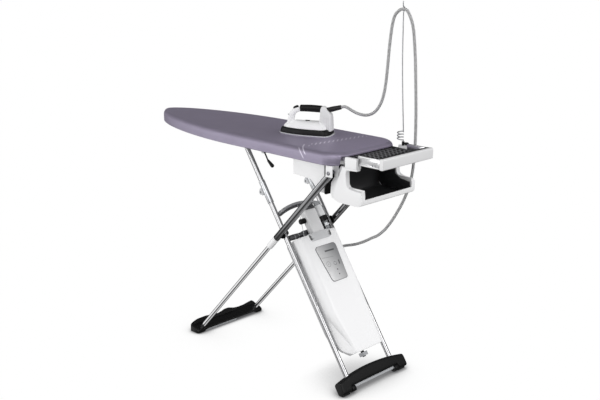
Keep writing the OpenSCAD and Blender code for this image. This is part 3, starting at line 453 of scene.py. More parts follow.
def turned(bm, profile, place=WORLD, sides=48):
    """A turned piece: a profile of (radius, height) spun about the local Z axis."""
    verts = [bm.verts.new((r, 0, h)) for r, h in profile]
    edges = [bm.edges.new(pair) for pair in zip(verts, verts[1:])]
    spun = bmesh.ops.spin(bm, geom=verts + edges, cent=(0, 0, 0), axis=(0, 0, 1), angle=TAU,
                          steps=sides, use_merge=True, use_duplicate=False)
    bmesh.ops.remove_doubles(bm, verts=bm.verts, dist=0.0005)
    bmesh.ops.recalc_face_normals(bm, faces=bm.faces)
    bmesh.ops.transform(bm, matrix=place, verts=bm.verts)
    return spun


def rounded(points, radius, steps=5):
    """An outline with its corners rounded by one radius, or by a radius for each corner."""
    out = []
    count = len(points)
    for i, p in enumerate(points):
        p = Vector(p)
        r = radius[i] if isinstance(radius, (list, tuple)) else radius
        a, b = Vector(points[i - 1]) - p, Vector(points[(i + 1) % count]) - p
        reach = min(r / max(0.05, math.tan(a.angle(b) / 2)), a.length * 0.48, b.length * 0.48)
        if reach < 0.05:
            out.append(tuple(p))
            continue
        start, end = p + a.normalized() * reach, p + b.normalized() * reach
        for k in range(steps + 1):
            t = k / steps
            out.append(tuple(start * (1 - t) ** 2 + p * (2 * t * (1 - t)) + end * t ** 2))
    return out


def box_line(low, high, radius=0.0, steps=5):
    """A rectangle's outline from its low corner, with rounded corners if there is a radius."""
    (x0, y0), (x1, y1) = low, high
    corners = [(x0, y0), (x1, y0), (x1, y1), (x0, y1)]
    return rounded(corners, radius, steps) if radius else corners


def smooth_path(points, steps):
    """A Catmull-Rom curve through points."""
    points = [Vector(p) for p in points]
    last = len(points) - 1
    out = []
    for i in range(last):
        a, b, c, d = points[max(0, i - 1)], points[i], points[i + 1], points[min(last, i + 2)]
        for k in range(steps):
            t = k / steps
            out.append(0.5 * (2 * b + (c - a) * t + (2 * a - 5 * b + 4 * c - d) * t * t
                              + (3 * b - a - 3 * c + d) * t ** 3))
    out.append(points[last])
    return out


def tube_rings(path, radius, sides, first=(0, 0, 1), out=None, into=None, section=None):
    """Rings of a tube along a path, without twist. section gives (across, up) for each angle."""
    path = [Vector(p) for p in path]
    last = len(path) - 1
    side, rings = Vector(first), []
    for i, p in enumerate(path):
        heading = (path[min(last, i + 1)] - path[max(0, i - 1)]).normalized()
        if i == 0 and out is not None:
            heading = Vector(out).normalized()
        if i == last and into is not None:
            heading = Vector(into).normalized()
        side = (side - side.dot(heading) * heading).normalized()
        other = heading.cross(side)
        r = radius(i / last) if callable(radius) else radius
        if section:
            rings.append([p + side * (a * r) + other * (b * r) for a, b in section])
        else:
            rings.append([p + side * (r * math.cos(TAU * k / sides)) + other * (r * math.sin(TAU * k / sides))
                          for k in range(sides)])
    return rings


def oblong(half_a, half_b, power=3.0, count=24):
    """A rounded oblong section, as (across, up) for each angle."""
    out = []
    for k in range(count):
        c, s = math.cos(TAU * k / count), math.sin(TAU * k / count)
        out.append((half_a * math.copysign(abs(c) ** (2 / power), c),
                    half_b * math.copysign(abs(s) ** (2 / power), s)))
    return out


def soften(bm, width, segments=2, angle=35.0):
    """Rounds every edge that is sharper than an angle."""
    bm.edges.ensure_lookup_table()
    sharp = [e for e in bm.edges if len(e.link_faces) == 2 and e.calc_face_angle(0.0) > down(angle)]
    if sharp and width:
        bmesh.ops.bevel(bm, geom=sharp, offset=width, offset_type="OFFSET", affect="EDGES",
                        segments=segments, profile=0.5, clamp_overlap=True, material=-1)


def cut_past(bm, point, away):
    """Cuts off what lies past a plane."""
    bmesh.ops.bisect_plane(bm, geom=bm.verts[:] + bm.edges[:] + bm.faces[:], plane_co=point,
                           plane_no=away, clear_outer=True)


def shade_edges(mesh, smooth):
    mesh.shade_smooth()
    mesh.set_sharp_from_angle(angle=down(smooth))


def to_object(name, bm, place):
    """Ends a mesh in the making, in metres, as an object in the scene."""
    bmesh.ops.transform(bm, matrix=Matrix.Scale(MM, 4) @ place, verts=bm.verts)
    mesh = bpy.data.meshes.new(name)
    bm.to_mesh(mesh)
    bm.free()
    obj = bpy.data.objects.new(name, mesh)
    bpy.context.scene.collection.objects.link(obj)
    return obj


def made(name, bm, body, finish, slot, replaces, place=WORLD, width=0.0, segments=2, angle=35.0,
         outward=True, smooth=34.0):
    """Turns a mesh in the making into a finished piece on its body."""
    if outward:
        bmesh.ops.recalc_face_normals(bm, faces=bm.faces)
    if width:
        soften(bm, width, segments, angle)
    obj = to_object(name, bm, place)
    shade_edges(obj.data, smooth)
    obj.data.materials.append(finish)
    if body:
        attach(obj, body)
    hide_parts(replaces)
    return obj


def lathe(name, body, finish, slot, replaces, profile, place=WORLD, **more):
    """A finished piece, turned about its place's Z axis."""
    bm = bmesh.new()
    turned(bm, profile, place)
    return made(name, bm, body, finish, slot, replaces, **more)


def slab(name, body, finish, slot, replaces, outline, low, high, axis="Z", **more):
    """A finished piece, extruded from an outline."""
    bm = bmesh.new()
    prism(bm, outline, low, high, axis)
    return made(name, bm, body, finish, slot, replaces, **more)


def boxes(name, body, finish, slot, replaces, *corners, **more):
    """A finished piece of one or more boxes, each from its low corner to its high one."""
    bm = bmesh.new()
    for low, high in corners:
        block(bm, low, high)
    return made(name, bm, body, finish, slot, replaces, **more)


def skinned(name, body, finish, slot, replaces, rings, **more):
    """A finished piece, skinned over a row of rings."""
    return made(name, loft(bmesh.new(), rings), body, finish, slot, replaces, **more)


def carve(obj, bm, place=WORLD):
    """Cuts a mesh in the making out of a piece, and forgets it."""
    bmesh.ops.recalc_face_normals(bm, faces=bm.faces)
    cutter = to_object("cut", bm, place)
    cut = obj.modifiers.new("cut", "BOOLEAN")
    cut.operation, cut.object, cut.solver = "DIFFERENCE", cutter, "EXACT"
    bpy.context.view_layer.update()
    graph = bpy.context.evaluated_depsgraph_get()
    mesh = bpy.data.meshes.new_from_object(obj.evaluated_get(graph))
    old, spare = obj.data, cutter.data
    obj.modifiers.clear()
    obj.data = mesh
    mesh.name = obj.name
    bpy.data.meshes.remove(old)
    bpy.data.objects.remove(cutter)
    bpy.data.meshes.remove(spare)


def round_off(obj, width, segments, angle, smooth):
    """Rounds the sharp edges of a carved piece."""
    bm = bmesh.new()
    bm.from_mesh(obj.data)
    bmesh.ops.remove_doubles(bm, verts=bm.verts, dist=0.00002)
    bmesh.ops.dissolve_limit(bm, angle_limit=down(0.5), verts=bm.verts, edges=bm.edges)
    soften(bm, width * MM, segments, angle)
    bm.to_mesh(obj.data)
    bm.free()
    shade_edges(obj.data, smooth)


def refined(node, body, finish, slot, width=0.6, segments=2):
    """A packed hard part, merged and with its edges rounded."""
    bm = bmesh.new()
    bm.from_mesh(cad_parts[node].data)
    bmesh.ops.scale(bm, vec=(1000, 1000, 1000), verts=bm.verts)
    bmesh.ops.remove_doubles(bm, verts=bm.verts, dist=0.01)
    bmesh.ops.dissolve_limit(bm, angle_limit=down(0.6), verts=bm.verts, edges=bm.edges)
    made(node + "_piece", bm, body, finish, slot, node, width=width, segments=segments, outward=False)


# ---- Hose: its three routes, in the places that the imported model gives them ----
def pulled(route, start, end):
    """A route whose ends are moved to two points, and the rest in proportion."""
    last = len(route) - 1
    a, b = Vector(start) - Vector(route[0]), Vector(end) - Vector(route[last])
    return [Vector(p) + a * (1 - i / last) + b * (i / last) for i, p in enumerate(route)]


HOSE_D = 11.5
GLAND = at_leg_b(487, 139, -28)
SEAM, SEAM_DIR = Vector((455, 174, 560)), Vector((0.71, -0.071, 0.7))
RING = Vector((541, 147, 1423))
RELIEF_AT, RELIEF_LONG = (102.6, 0, 103), 42.3
RELIEF_DIR = Vector((math.cos(down(15)) * math.cos(down(26)), math.cos(down(15)) * math.sin(down(26)),
                     math.sin(down(15))))
RELIEF_END = IRON @ Vector(RELIEF_AT) + RELIEF_LONG * RELIEF_DIR
LOWER = pulled([(236, 139, 443), (236, 150, 443), (241, 164, 444), (254, 175, 448), (276, 181, 454),
                (305, 183, 465), (343, 183, 484), (380, 181, 506), (418, 177.5, 528), (455, 174, 560)],
               GLAND, SEAM)
MIDDLE = pulled([(455, 174, 560), (488, 171, 600), (519, 169, 646), (547, 168, 695), (569, 168, 745),
                 (584, 168, 797), (592, 168, 850), (596, 168, 910), (597, 168, 970), (596, 168, 1040),
                 (593, 168, 1110), (590, 167, 1180), (587, 165, 1250), (584, 161, 1310), (581, 156, 1355),
                 (573, 151, 1390), (559, 148, 1416), (551, 147, 1421.5), (541, 147, 1423)],
                SEAM + 0.3 * SEAM_DIR, RING + Vector((0.1, 0, 0)))
UPPER = pulled([(541, 147, 1423), (531, 147, 1421.5), (519, 146, 1415), (505, 144, 1400), (496, 142, 1372),
                (491, 139, 1330), (487, 136, 1275), (484, 133, 1215), (481, 129, 1155), (474, 125, 1103),
                (461, 120, 1064), (440, 114, 1036), (412, 106, 1022), (380, 96, 1023), (352, 88, 1033),
                (333, 81.6, 1043), (320, 76.3, 1047), (309, 70.9, 1044.3)], RING, RELIEF_END)


def hose_stretch(name, node, route, out, into, bend, travelled=0.0):
    """One stretch of the braided hose, running between two bodies. Returns the length up to its end."""
    path = smooth_path(route, 6)
    sides = 20
    bm = bmesh.new()
    loft(bm, tube_rings(path, HOSE_D / 2, sides, (0, 0, 1), out, into))
    reach = [travelled]
    for a, b in zip(path, path[1:]):
        reach.append(reach[-1] + (b - a).length)
    bm.verts.index_update()
    layer = bm.loops.layers.uv.new("sleeve")
    for face in bm.faces:
        rows = [loop.vert.index for loop in face.loops]
        columns = [i % sides for i in rows]
        wraps = max(columns) - min(columns) > sides / 2
        for loop, i, column in zip(face.loops, rows, columns):
            around = column + (sides if wraps and column < sides / 2 else 0)
            loop[layer].uv = (around / sides, reach[min(i // sides, len(reach) - 1)] / (math.pi * HOSE_D))
    obj = made(name, bm, None, BRAID, "braided_hose", node)
    [tuple(p * MM for p in q) for q in bend]
    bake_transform(obj)
    line = [tuple(p * MM) for p in path]
    return reach[-1]


gone = hose_stretch("steam_hose_lower", "hose_lower", LOWER, (0, 1, 0), SEAM_DIR,
                    (LOWER[1], SEAM))
gone = hose_stretch("steam_hose_middle", "hose_middle", MIDDLE, SEAM_DIR, (-1, 0, 0),
                    (SEAM, MIDDLE[7]), gone)
hose_stretch("steam_hose_upper", "hose_upper", UPPER, (-1, 0, 0), -RELIEF_DIR,
             (RING, UPPER[-2]), gone)


# ---- Board: cover, pad, plate and pan ----
def half_at(s, length, width):
    """Half the board's width, s from the nose's tip."""
    nose = NOSE_SHARE * length
    if s < nose:
        return width * max(0.0, 1 - (1 - s / nose) ** 1.75) ** 0.606
    if s > length - TAIL_R:
        return width - TAIL_R + math.sqrt(max(0.0, TAIL_R ** 2 - (s - length + TAIL_R) ** 2))
    return width


def board_line(inset):
    """The board's outline at an inset, once round: nose, near side, tail, far side."""
    length, width = BOARD_LEN - 2 * inset, BOARD_HALF - inset
    nose, straight = NOSE_SHARE * length, length - TAIL_R
    runs = [nose * (i / 44) ** 1.7 for i in range(45)]
    runs += [mix(nose, straight, i / 14) for i in range(1, 15)]
    runs += [straight + TAIL_R * math.sin(down(a)) for a in
             (8, 16, 24, 32, 40, 46, 50, 53, 55.5, 57.5, 59.5, 61.5, 64, 68, 74, 82, 90)]
    near = [(NOSE_X + inset + s, -half_at(s, length, width)) for s in runs]
    tail = near[-1]
    bridge = [(tail[0], mix(tail[1], -tail[1], i / 10)) for i in range(1, 10)]
    return near + bridge + [(x, -y) for x, y in reversed(near[1:])]


def hem_lift(x, y):
    """How far the cover's lower edge rises, over the iron rest's slot."""
    return 0.0 if x < 430 else 30.0 * ease((149.5 - abs(y)) / 6.5)


def cover_point(p, z, inset):
    """A point of the cover, with the hem's rise and the small ripples."""
    x, y = p
    if z < 922:
        z = z + hem_lift(x, y) * (922 - z) / 40
    round_nose = ease((-380 - x) / 260)
    ripple = 0.5 * math.sin(x * 0.11 + z * 0.05) * math.sin(x * 0.037 + 1.0) * ease((915 - z) / 20)
    ripple += 0.35 * round_nose * math.sin(math.atan2(y, x + 500) * 46) * ease((925 - z) / 30)
    shift = 1 - ripple / max(60.0, math.hypot(x, y))
    return Vector((x * shift if x < -300 else x, y * shift, z))


# Sections of the cover's two faces and of the pad, as (inset, height)
COVER_OUTER = [(2.6, 882.6), (1.1, 882.0), (0.2, 883.4), (0.0, 886.4), (0.35, 887.8), (0.0, 890.0),
               (0.0, 899.0), (0.1, 907.0), (0.4, 911.0), (1.0, 914.6), (2.1, 917.9), (3.8, 921.0),
               (6.0, 923.8), (8.8, 926.1), (12.2, 928.0), (16.4, 929.4), (21.0, 929.9)]
COVER_INNER = [(3.4, 883.8), (3.4, 890.0), (3.4, 905.0), (3.45, 915.5), (5.2, 918.6), (8.0, 921.6),
               (11.8, 924.4), (16.6, 926.4), (21.4, 927.0)]
PAD_SIDE = [(5.4, 915.2), (4.6, 915.8), (5.0, 917.4), (7.0, 920.0), (10.2, 922.8), (14.0, 925.0),
            (19.0, 926.4), (24.0, 926.8)]


def cover_face(bm, profile, top):
    """One face of the cover: its edge, then rings that shrink to the middle line."""
    lines = [board_line(inset) for inset, _ in profile]
    rings = [[cover_point(p, z, inset) for p in line] for line, (inset, z) in zip(lines, profile)]
    for share in (0.96, 0.86, 0.7, 0.5, 0.26, 0.0):
        keep = 1 - 0.14 * (1 - share)
        rings.append([Vector((-90 + (x + 90) * keep, y * share, top)) for x, y in lines[-1]])
    return loft(bm, rings, False, False)


def make_cover():
    """The cover: a skirt with a hem, a broad soft edge, and a flat top; a thin closed shell."""
    bm = cover_face(bmesh.new(), COVER_OUTER, BOARD_TOP)
    lower = cover_face(bmesh.new(), COVER_INNER, BOARD_TOP - 2.8)
    spare = bpy.data.meshes.new("spare")
    lower.to_mesh(spare)
    lower.free()
    bm.from_mesh(spare)
    bpy.data.meshes.remove(spare)
    bmesh.ops.remove_doubles(bm, verts=bm.verts, dist=0.02)
    bmesh.ops.bridge_loops(bm, edges=[e for e in bm.edges if len(e.link_faces) == 1])
    cover = made("board_cover", bm, "board", CLOTH, "cover_cloth", "cover", smooth=50)


make_cover()
skinned("board_pad", "board", FOAM, "foam", "pad",
                  [[Vector((x, y, z)) for x, y in board_line(inset)] for inset, z in PAD_SIDE])
refined("top_plate", "board", ALLOY, "alloy_sheet", 0.3)
refined("air_pan", "board", WHITE, "alloy_sheet", 0.8)
refined("glide_rails", "board", SATIN_STEEL, "zinc_steel", 0.4)
refined("leg_brackets", "board", WHITE, "light_steel", 0.8)
refined("hinge_pins", "board", DARK_STEEL, "dark_steel", 0.5)


# ---- Blower and height lever ----
def make_blower():
    """The blower's box, hollow, with a row of slots in its floor."""
    outer = [(236, 802), (326, 797), (364, 765), (378, 755.5), (400, 755), (400, 885), (236, 885)]
    inner = [(239, 804.8), (327, 799.8), (366, 767.6), (379, 758.4), (397, 758), (397, 890), (239, 890)]
    box = slab("blower_box", "board", BLOWER_WHITE, "white_plastic", "blower_housing", outer, -118, 118, "Y",
               outward=False)
    cuts = bmesh.new()
    prism(cuts, inner, -115, 115, "Y")
    for y in range(-48, 49, 12):
        block(cuts, (262, y - 3.5, 790), (322, y + 3.5, 812))
    carve(box, cuts)
    round_off(box, 2.4, 3, 40, 34)


make_blower()
refined("blower_end_cap", "board", BLACK, "black_plastic", 2.4, 4)
slab("blower_filter", "board", BLACK, "black_plastic", "blower_grille",
     [(250, 805.6), (326, 801.2), (326, 802.4), (250, 806.8)], -58, 58, "Y")
refined("blower_motor", "board", DARK_STEEL, "dark_steel", 0.8)
refined("impeller", "impeller", BLACK, "black_plastic", 0.3)
refined("lever_bracket", "board", SATIN_STEEL, "zinc_steel", 0.4)
refined("lever_arm", "height_lever", BLACK, "black_plastic", 0.4)
refined("lever_grip", "height_lever", SOFT_BLACK, "black_plastic", 0.8)

# ---- Outer legs ----
for side, word in SIDES:
    leg = set_at(WORLD, (0, side * LEG_A_Y, 0)) @ LEG_A
    bm = bmesh.new()
    turned(bm, [(12.0, 688.0), (12.0, 686.3), (13.0, 686.0), (13.5, 686.8), (13.5, LEN_A + 4.0),
                (12.9, LEN_A + 5.0), (11.9, LEN_A + 5.0), (11.7, LEN_A + 4.0), (11.7, LEN_A - 30),
                (0, LEN_A - 30)])
    cut_past(bm, (0, 0, LEN_A + 1), (0.62, 0, 0.78))
    made("sleeve_" + word, bm, "outer_legs", SHADED_SLEEVE_CHROME, "chrome", "leg_a_sleeves", leg, outward=False)
    lathe("bushing_" + word, "outer_legs", GLOSS, "white_plastic", "leg_a_bushings",
          [(9.55, 626.3), (11.2, 626.3), (12.3, 627.6), (12.8, 631.0), (13.0, 636.0), (13.0, 676.0),
           (12.5, 677.0), (12.5, 680.6), (13.0, 681.4), (13.0, 686.2), (9.55, 686.2), (9.55, 626.3)], leg)
    lathe("lower_tube_" + word, "outer_legs", CHROME, "chrome", "leg_a_tubes",
          [(8.0, -17), (9.5, -17), (9.5, 690), (8.0, 690)], leg)


def make_shoe():
    """The outer legs' shoe: a rounded channel with a wavy upright flange behind."""
    half, back_x = 190, FOOT_A[0] - 57
    waves = [(-190, 20), (-184, 31), (-176, 38), (-150, 45.5), (-100, 46.5), (-62, 41), (-30, 38.5),
             (-12, 41.5), (8, 47.6), (32, 47.6), (50, 42), (66, 37.5), (92, 35), (125, 36), (150, 40.5),
             (172, 43), (184, 37), (190, 24)]
    end_steps = [-190, -189, -187, -183, -178, -172]
    rings = []
    for y in end_steps + list(range(-165, 166, 10)) + [-y for y in reversed(end_steps)]:
        end = (half - abs(y)) / 12
        pinch = 1 - 0.2 * (1 - min(1.0, end)) ** 2.6 if end < 1 else 1.0
        top = along(waves, y) - 2
        floor = 10.0 * ease((150 - abs(y)) / 10)
        profile = [(0.0, floor + 3), (1.5, floor + 0.6), (5, floor), (50, floor), (58, floor + 0.8),
                   (61.5, floor + 4), (61.8, 12), (59.5, 16.5), (52, 20.5), (42, 24), (30, 26.4), (20, 27.6),
                   (13.5, 28.6), (11.6, 31), (10.8, max(31.5, top - 3)), (9.2, max(32, top)),
                   (5.0, max(32.3, top + 0.8)), (2.0, max(31.8, top)), (0.2, max(31, top - 3)), (0, 24)]
        rings.append([Vector((back_x + 31 + (x - 31) * pinch, y, 1 + (z - 1) * (pinch if z > 6 else 1)))
                      for x, z in profile])
    skinned("shoe", "outer_legs", BLACK, "black_plastic", "leg_a_shoe", rings, smooth=40)


make_shoe()
# painted shade: a grey block under the shoe's front edge stands in for the shaded floor seen through the gap
# there
boxes("shoe_gap_painted_shade", "outer_legs", GREY, "black_plastic", "leg_a_shoe",
      ((FOOT_A[0] - 16, -149, 0.8), (FOOT_A[0] - 2, 36, 12)), width=1.0)
for side, word in SIDES:
    lathe("cross_pivot_" + word, "outer_legs", BLACK, "black_plastic", "cross_axle",
          [(0, 111), (8.4, 111), (9, 112), (9, 115), (8.4, 116), (6, 116.2), (6, 137.3), (16.6, 137.4),
           (18, 138.4), (18, 140.4), (17, 141.4), (6, 141.5), (6, 166), (5, 167), (0, 167)],
          set_at(WORLD, (CROSS[0], 0, CROSS[1]), -90 * side))

# ---- Inner legs ----
for side, word in SIDES:
    lathe("inner_tube_" + word, "inner_legs", LEG_CHROME, "chrome", "leg_b_tubes",
          [(8.5, -21), (10, -21), (10, LEN_B - 2), (9, LEN_B + 2), (6, LEN_B + 3.8), (0, LEN_B + 4)],
          set_at(WORLD, (0, side * LEG_B_Y, 0)) @ LEG_B)
refined("leg_b_knuckles", "inner_legs", SATIN_STEEL, "light_steel", 1.6, 3)
refined("leg_b_gliders", "inner_legs", GREY, "grey_plastic", 0.8)

cross_bar = set_at(LEG_B, (-3, 0, CROSS_B - 24), -90)
lathe("cross_bar_piece", "inner_legs", DARK, "dark_lacquer", "cross_bar",
      [(0, -116.6), (11, -116.6), (11, -91), (11.7, -90.6), (11.7, -86), (11, -85.6), (11, -70),
       (10.4, -69.4), (10.4, 69.4), (11, 70), (11, 116.6), (0, 116.6)], cross_bar)
for y in (-88.3, -66.0):
    lathe("cross_band_%d" % -y, "inner_legs", CHROME, "dark_lacquer", "cross_bar",
          [(11.0, y - 1.6), (12.0, y - 1.4), (12.0, y + 1.4), (11.0, y + 1.6), (11.0, y - 1.6)], cross_bar)
boxes("cross_block", "inner_legs", DARK, "dark_lacquer", "cross_bar",
      ((-13, -42, CROSS_B - 43), (9, -8, CROSS_B - 12)), place=LEG_B, width=2.5, segments=3)

ARCH_FOOT, ARCH_RISE, ARCH_HALF = 683.6, 22, 117


def arch_s(y):
    """The arch's height along the inner legs."""
    return ARCH_FOOT + ARCH_RISE * (1 - (y / ARCH_HALF) ** 2)


def arch_piece(name, finish, ys, drop, d, half_a, half_b, sides):
    """A bar along the arch, some distance below its line."""
    path = [at_leg_b(arch_s(y) - drop, y, d) for y in ys]
    skinned(name, "inner_legs", finish, "silver_paint", "arch_bar",
            tube_rings(path, 1.0, sides, tuple(LEG_B.to_3x3() @ Vector((1, 0, 0))),
                       section=oblong(half_a, half_b, 3.2, sides)))


arch_piece("arch_brace", BRACE, [-116.7 + 233.4 * i / 30 for i in range(31)], 0.0, 0, 6.0, 6.0, 24)
arch_piece("arch_web", DARK, [-108 + 150 * i / 20 for i in range(21)], 10.2, -1, 5.0, 4.6, 20)
for y in (-97.0, -91.0):
    boxes("arch_band_%d" % -y, "inner_legs", CHROME, "silver_paint", "arch_bar",
          ((-6.6, y - 1.6, arch_s(y) - 6.6), (6.6, y + 1.6, arch_s(y) + 6.6)), place=LEG_B, width=0.5)
WIRE = [(699, -8, 7), (650, -21, 9), (596, -36, 9.6), (566, -45, 9.4), (562, -46, 6)]
skinned("return_wire", "inner_legs", SATIN_STEEL, "silver_paint", "arch_bar",
        tube_rings(smooth_path([at_leg_b(*point) for point in WIRE], 5), 1.1, 10, (0, 1, 0)))


def make_foot_bar():
    """The inner legs' foot: an arched bar with a rounded pod at each end, cut out for the wheels."""
    half, lowest = 187, 4.2
    end_steps = [-187, -186.6, -185.4, -183.6, -181, -176, -168, -156, -148, -145, -142, -139, -136, -132,
                 -122, -110, -100]
    rings = []
    for y in end_steps + list(range(-90, 91, 12)) + [-y for y in reversed(end_steps)]:
        end = min(1.0, (half - abs(y)) / 5)
        pinch = math.sqrt(max(0.0, 1 - (1 - end) ** 2)) * 0.14 + 0.86
        top = 10 - 20 * (y / half) ** 2
        low = mix(-41, -60, ease((abs(y) - 136) / 7))
        middle = (top + low) / 2
        ring = []
        for d, up in oblong(19.0, 1.0, 5.0, 40):
            s = mix(low, top, 0.5 + up / 2)
            p = at_leg_b(middle + (s - middle) * pinch, y, d * pinch)
            p.z = max(p.z, lowest)
            ring.append(p)
        rings.append(ring)
    bar = skinned("foot_beam", "inner_legs", BLACK, "black_plastic", "foot_bar", rings, smooth=45)
    for y in (-WHEEL_Y, WHEEL_Y):
        bm = bmesh.new()
        rod(bm, (WHEEL_X, y - 9.5, WHEEL_Z), (WHEEL_X, y + 9.5, WHEEL_Z), 15.0)
        carve(bar, bm)
    shade_edges(bar.data, 45)


make_foot_bar()
boxes("foot_strip", "inner_legs", GREY, "black_plastic", "foot_bar", ((-14, -134, -50), (10, 134, -38)),
      place=LEG_B, width=1.5, segments=3)
for side, word in SIDES:
    wheel = set_at(WORLD, (WHEEL_X, side * WHEEL_Y, WHEEL_Z), 90)
    inner, outer = sorted((side * 142, side * 185))
    slab("sole_%d" % (side + 1), "inner_legs", RUBBER, "black_rubber", "foot_soles",
         box_line((544, inner), (567, outer), 4, 4), 0.0, 6.0, width=0.8)
    bm = bmesh.new()
    turned(bm, [(15.0, -10.5), (17.0, -10.2), (17.5, -9.4), (17.5, 9.4), (17.0, 10.2), (15.0, 10.5),
                (15.0, -10.5)], wheel)
    cut_past(bm, (559, 0, 17), (-0.35, 0, -1))
    made("wheel_guard_%d" % (side + 1), bm, "inner_legs", BLACK, "black_plastic", "foot_bar")
refined("wheel_axles", "inner_legs", SATIN_STEEL, "zinc_steel", 0.4)
for side, word in SIDES:
    lathe("wheel_piece_" + word, "wheel_" + word, RUBBER, "black_rubber", "wheel_" + word,
          [(3.1, -8), (6, -8), (6.6, -6.6), (10, -6.4), (10.6, -7.9), (12.2, -8), (13, -7), (13, 7),
           (12.2, 8), (10.6, 7.9), (10, 6.4), (6.6, 6.6), (6, 8), (3.1, 8), (3.1, -8)],
          set_at(WORLD, (WHEEL_X, side * WHEEL_Y, WHEEL_Z), 90))

# ---- Steam generator ----
GEN_START, GEN_END, BEND_S = 65.0, 560.0, 330.0
FRONT, LOW_FRONT, GEN_HALF = 50.0, 34.0, 112.0
CROWN, EDGE_R = 1.6, 33


def full_half(high):
    """Half a section of the front cover, crowned and with a round edge: (across, out) from the middle."""
    flat = GEN_HALF - EDGE_R
    half = [(y, high - CROWN * (y / flat) ** 2) for y in (0, 10, 20, 30, 40, 50, 59, 66, 72, 76)]
    for a in range(0, 91, 10):
        across, out = math.sin(down(a)), math.cos(down(a))
        half.append((flat + EDGE_R * across, high - EDGE_R + EDGE_R * out - CROWN * out))
    return half + [(GEN_HALF, mix(high - EDGE_R, 1, t)) for t in (0.3, 0.65, 1.0)]


def cut_half(high, limit):
    """Half a section where the cover's near side is cut away: a crease, then a broad slope."""
    half = [(y, high - 0.8 * (y / 50) ** 2) for y in (0, 6, 13, 20, 27, 33, 39, 44, 47, 50)]
    a, corner, b = (50, high - 0.8), (56.5, high - 1.0), (61, high - 5.0)
    half += [tuple(mix(mix(a[k], corner[k], i / 9), mix(corner[k], b[k], i / 9), i / 9) for k in (0, 1))
             for i in range(10)]
    half += [(y, mix(high - 5, 6, min(1.0, (y - 61) / 42))) for y in (min(84, limit), min(103, limit))]
    return half + [(min(107, limit + 1), 1)]


def half_section(s, far):
    """One side of the front cover's section at a height s."""
    rise = s - GEN_START
    high = mix(LOW_FRONT, FRONT, min(1.0, rise / (BEND_S - GEN_START)))
    full = full_half(high)
    if far:
        limit = GEN_HALF - 12 * (1 - min(1.0, rise / 14)) ** 2
        return [(min(y, limit), d) for y, d in full]
    limit = GEN_HALF - 45 * (1 - min(1.0, rise / 60)) ** 2.2
    t = (250 - s) / 185
    t = ease(t) * 0.35 + 0.65 * min(1.0, max(0.0, t))
    return [(min(mix(a[0], b[0], t), limit), mix(a[1], b[1], t)) for a, b in zip(full, cut_half(high, limit))]


def rounding(left, radius, depth):
    """How far a surface has dropped at a distance from its rounded end."""
    return depth * (1 - math.sqrt(max(0.0, 1 - (1 - left / radius) ** 2))) if left < radius else 0.0


def make_housing_front():
    """The generator's front cover, with the column's notch and the panel's pocket."""
    rings = []
    for s in [65, 65.8, 68, 72, 78, 88, 100, 114, 130, 146, 162, 178, 194, 208, 222, 236, 250, 270, 300, 330,
              345, 370, 400, 430, 460, 490, 515, 530, 543, 551, 556.5, 559.2, 560]:
        drop = rounding(s - GEN_START, 7, 3.4) + rounding(GEN_END - s, 8.5, 4.4)
        near, far = half_section(s, False), half_section(s, True)
        ring = [Vector((max(0.2, d - drop), -y, s)) for y, d in reversed(near)]
        ring += [Vector((max(0.2, d - drop), y, s)) for y, d in far[1:]]
        ring += [Vector((0.0, mix(far[-1][0], -near[-1][0], t), s)) for t in (0.05, 0.25, 0.5, 0.75, 0.95)]
        rings.append(ring)
    cover = skinned("housing_cover", "inner_legs", GLOSS, "white_gloss", "housing_front", rings, place=LEG_B,
                    smooth=26)
    cuts = bmesh.new()
    prism(cuts, box_line((-58, 529), (60, 600), [16, 16, 0, 0]), -6, 80, "X")
    prism(cuts, rounded([(-28, 364), (38, 364), (46, 490), (-46, 490)], 8, 4), 36, 70, "X")
    carve(cover, cuts, LEG_B)
    round_off(cover, 1.2, 3, 50, 26)


def make_housing_back():
    """The rear tub, shallow at the foot and with a rounded rim."""
    levels = [(-1.2, 2.0, 78), (-4.0, 2.0, 78), (-5.0, 2.2, 80), (-14, 2.4, 88), (-26, 1.8, 106),
              (-36, 2.0, 124), (-41, 4.0, 132), (-44, 7.5, 138), (-45, 11, 142)]
    rings = []
    for d, inset, low in levels:
        across, top = GEN_HALF - inset, GEN_END - inset
        line = box_line((-across, low + inset), (across, top), [46, 16, 10, 10], 8)
        rings.append([Vector((d, y, s)) for y, s in line])
    skinned("housing_tub", "inner_legs", PALE, "grey_plastic", "housing_back", rings, place=LEG_B, smooth=30)


make_housing_front()
make_housing_back()
for side in (-1, 1):
    inner, outer = sorted((side * 111, side * 116.7))
    for s in (115, 470):
        boxes("lug_%d_%d" % (side + 1, s), "inner_legs", PALE, "grey_plastic", "housing_back",
              ((-13, inner, s), (-1, outer, s + 40)), place=LEG_B, width=1.5)


# ---- Control panel ----
def panel_line(low, low_s, high, high_s, radii):
    """A panel outline: its two lower corners at one height, its two upper ones at another."""
    return rounded([(low[0], low_s), (low[1], low_s), (high, high_s), (-high, high_s)], radii, 8)


def facing_out(y, s):
    """A place on the generator whose Z axis points out of the cover."""
    return set_at(LEG_B, (0, y, s), 90, "Y")


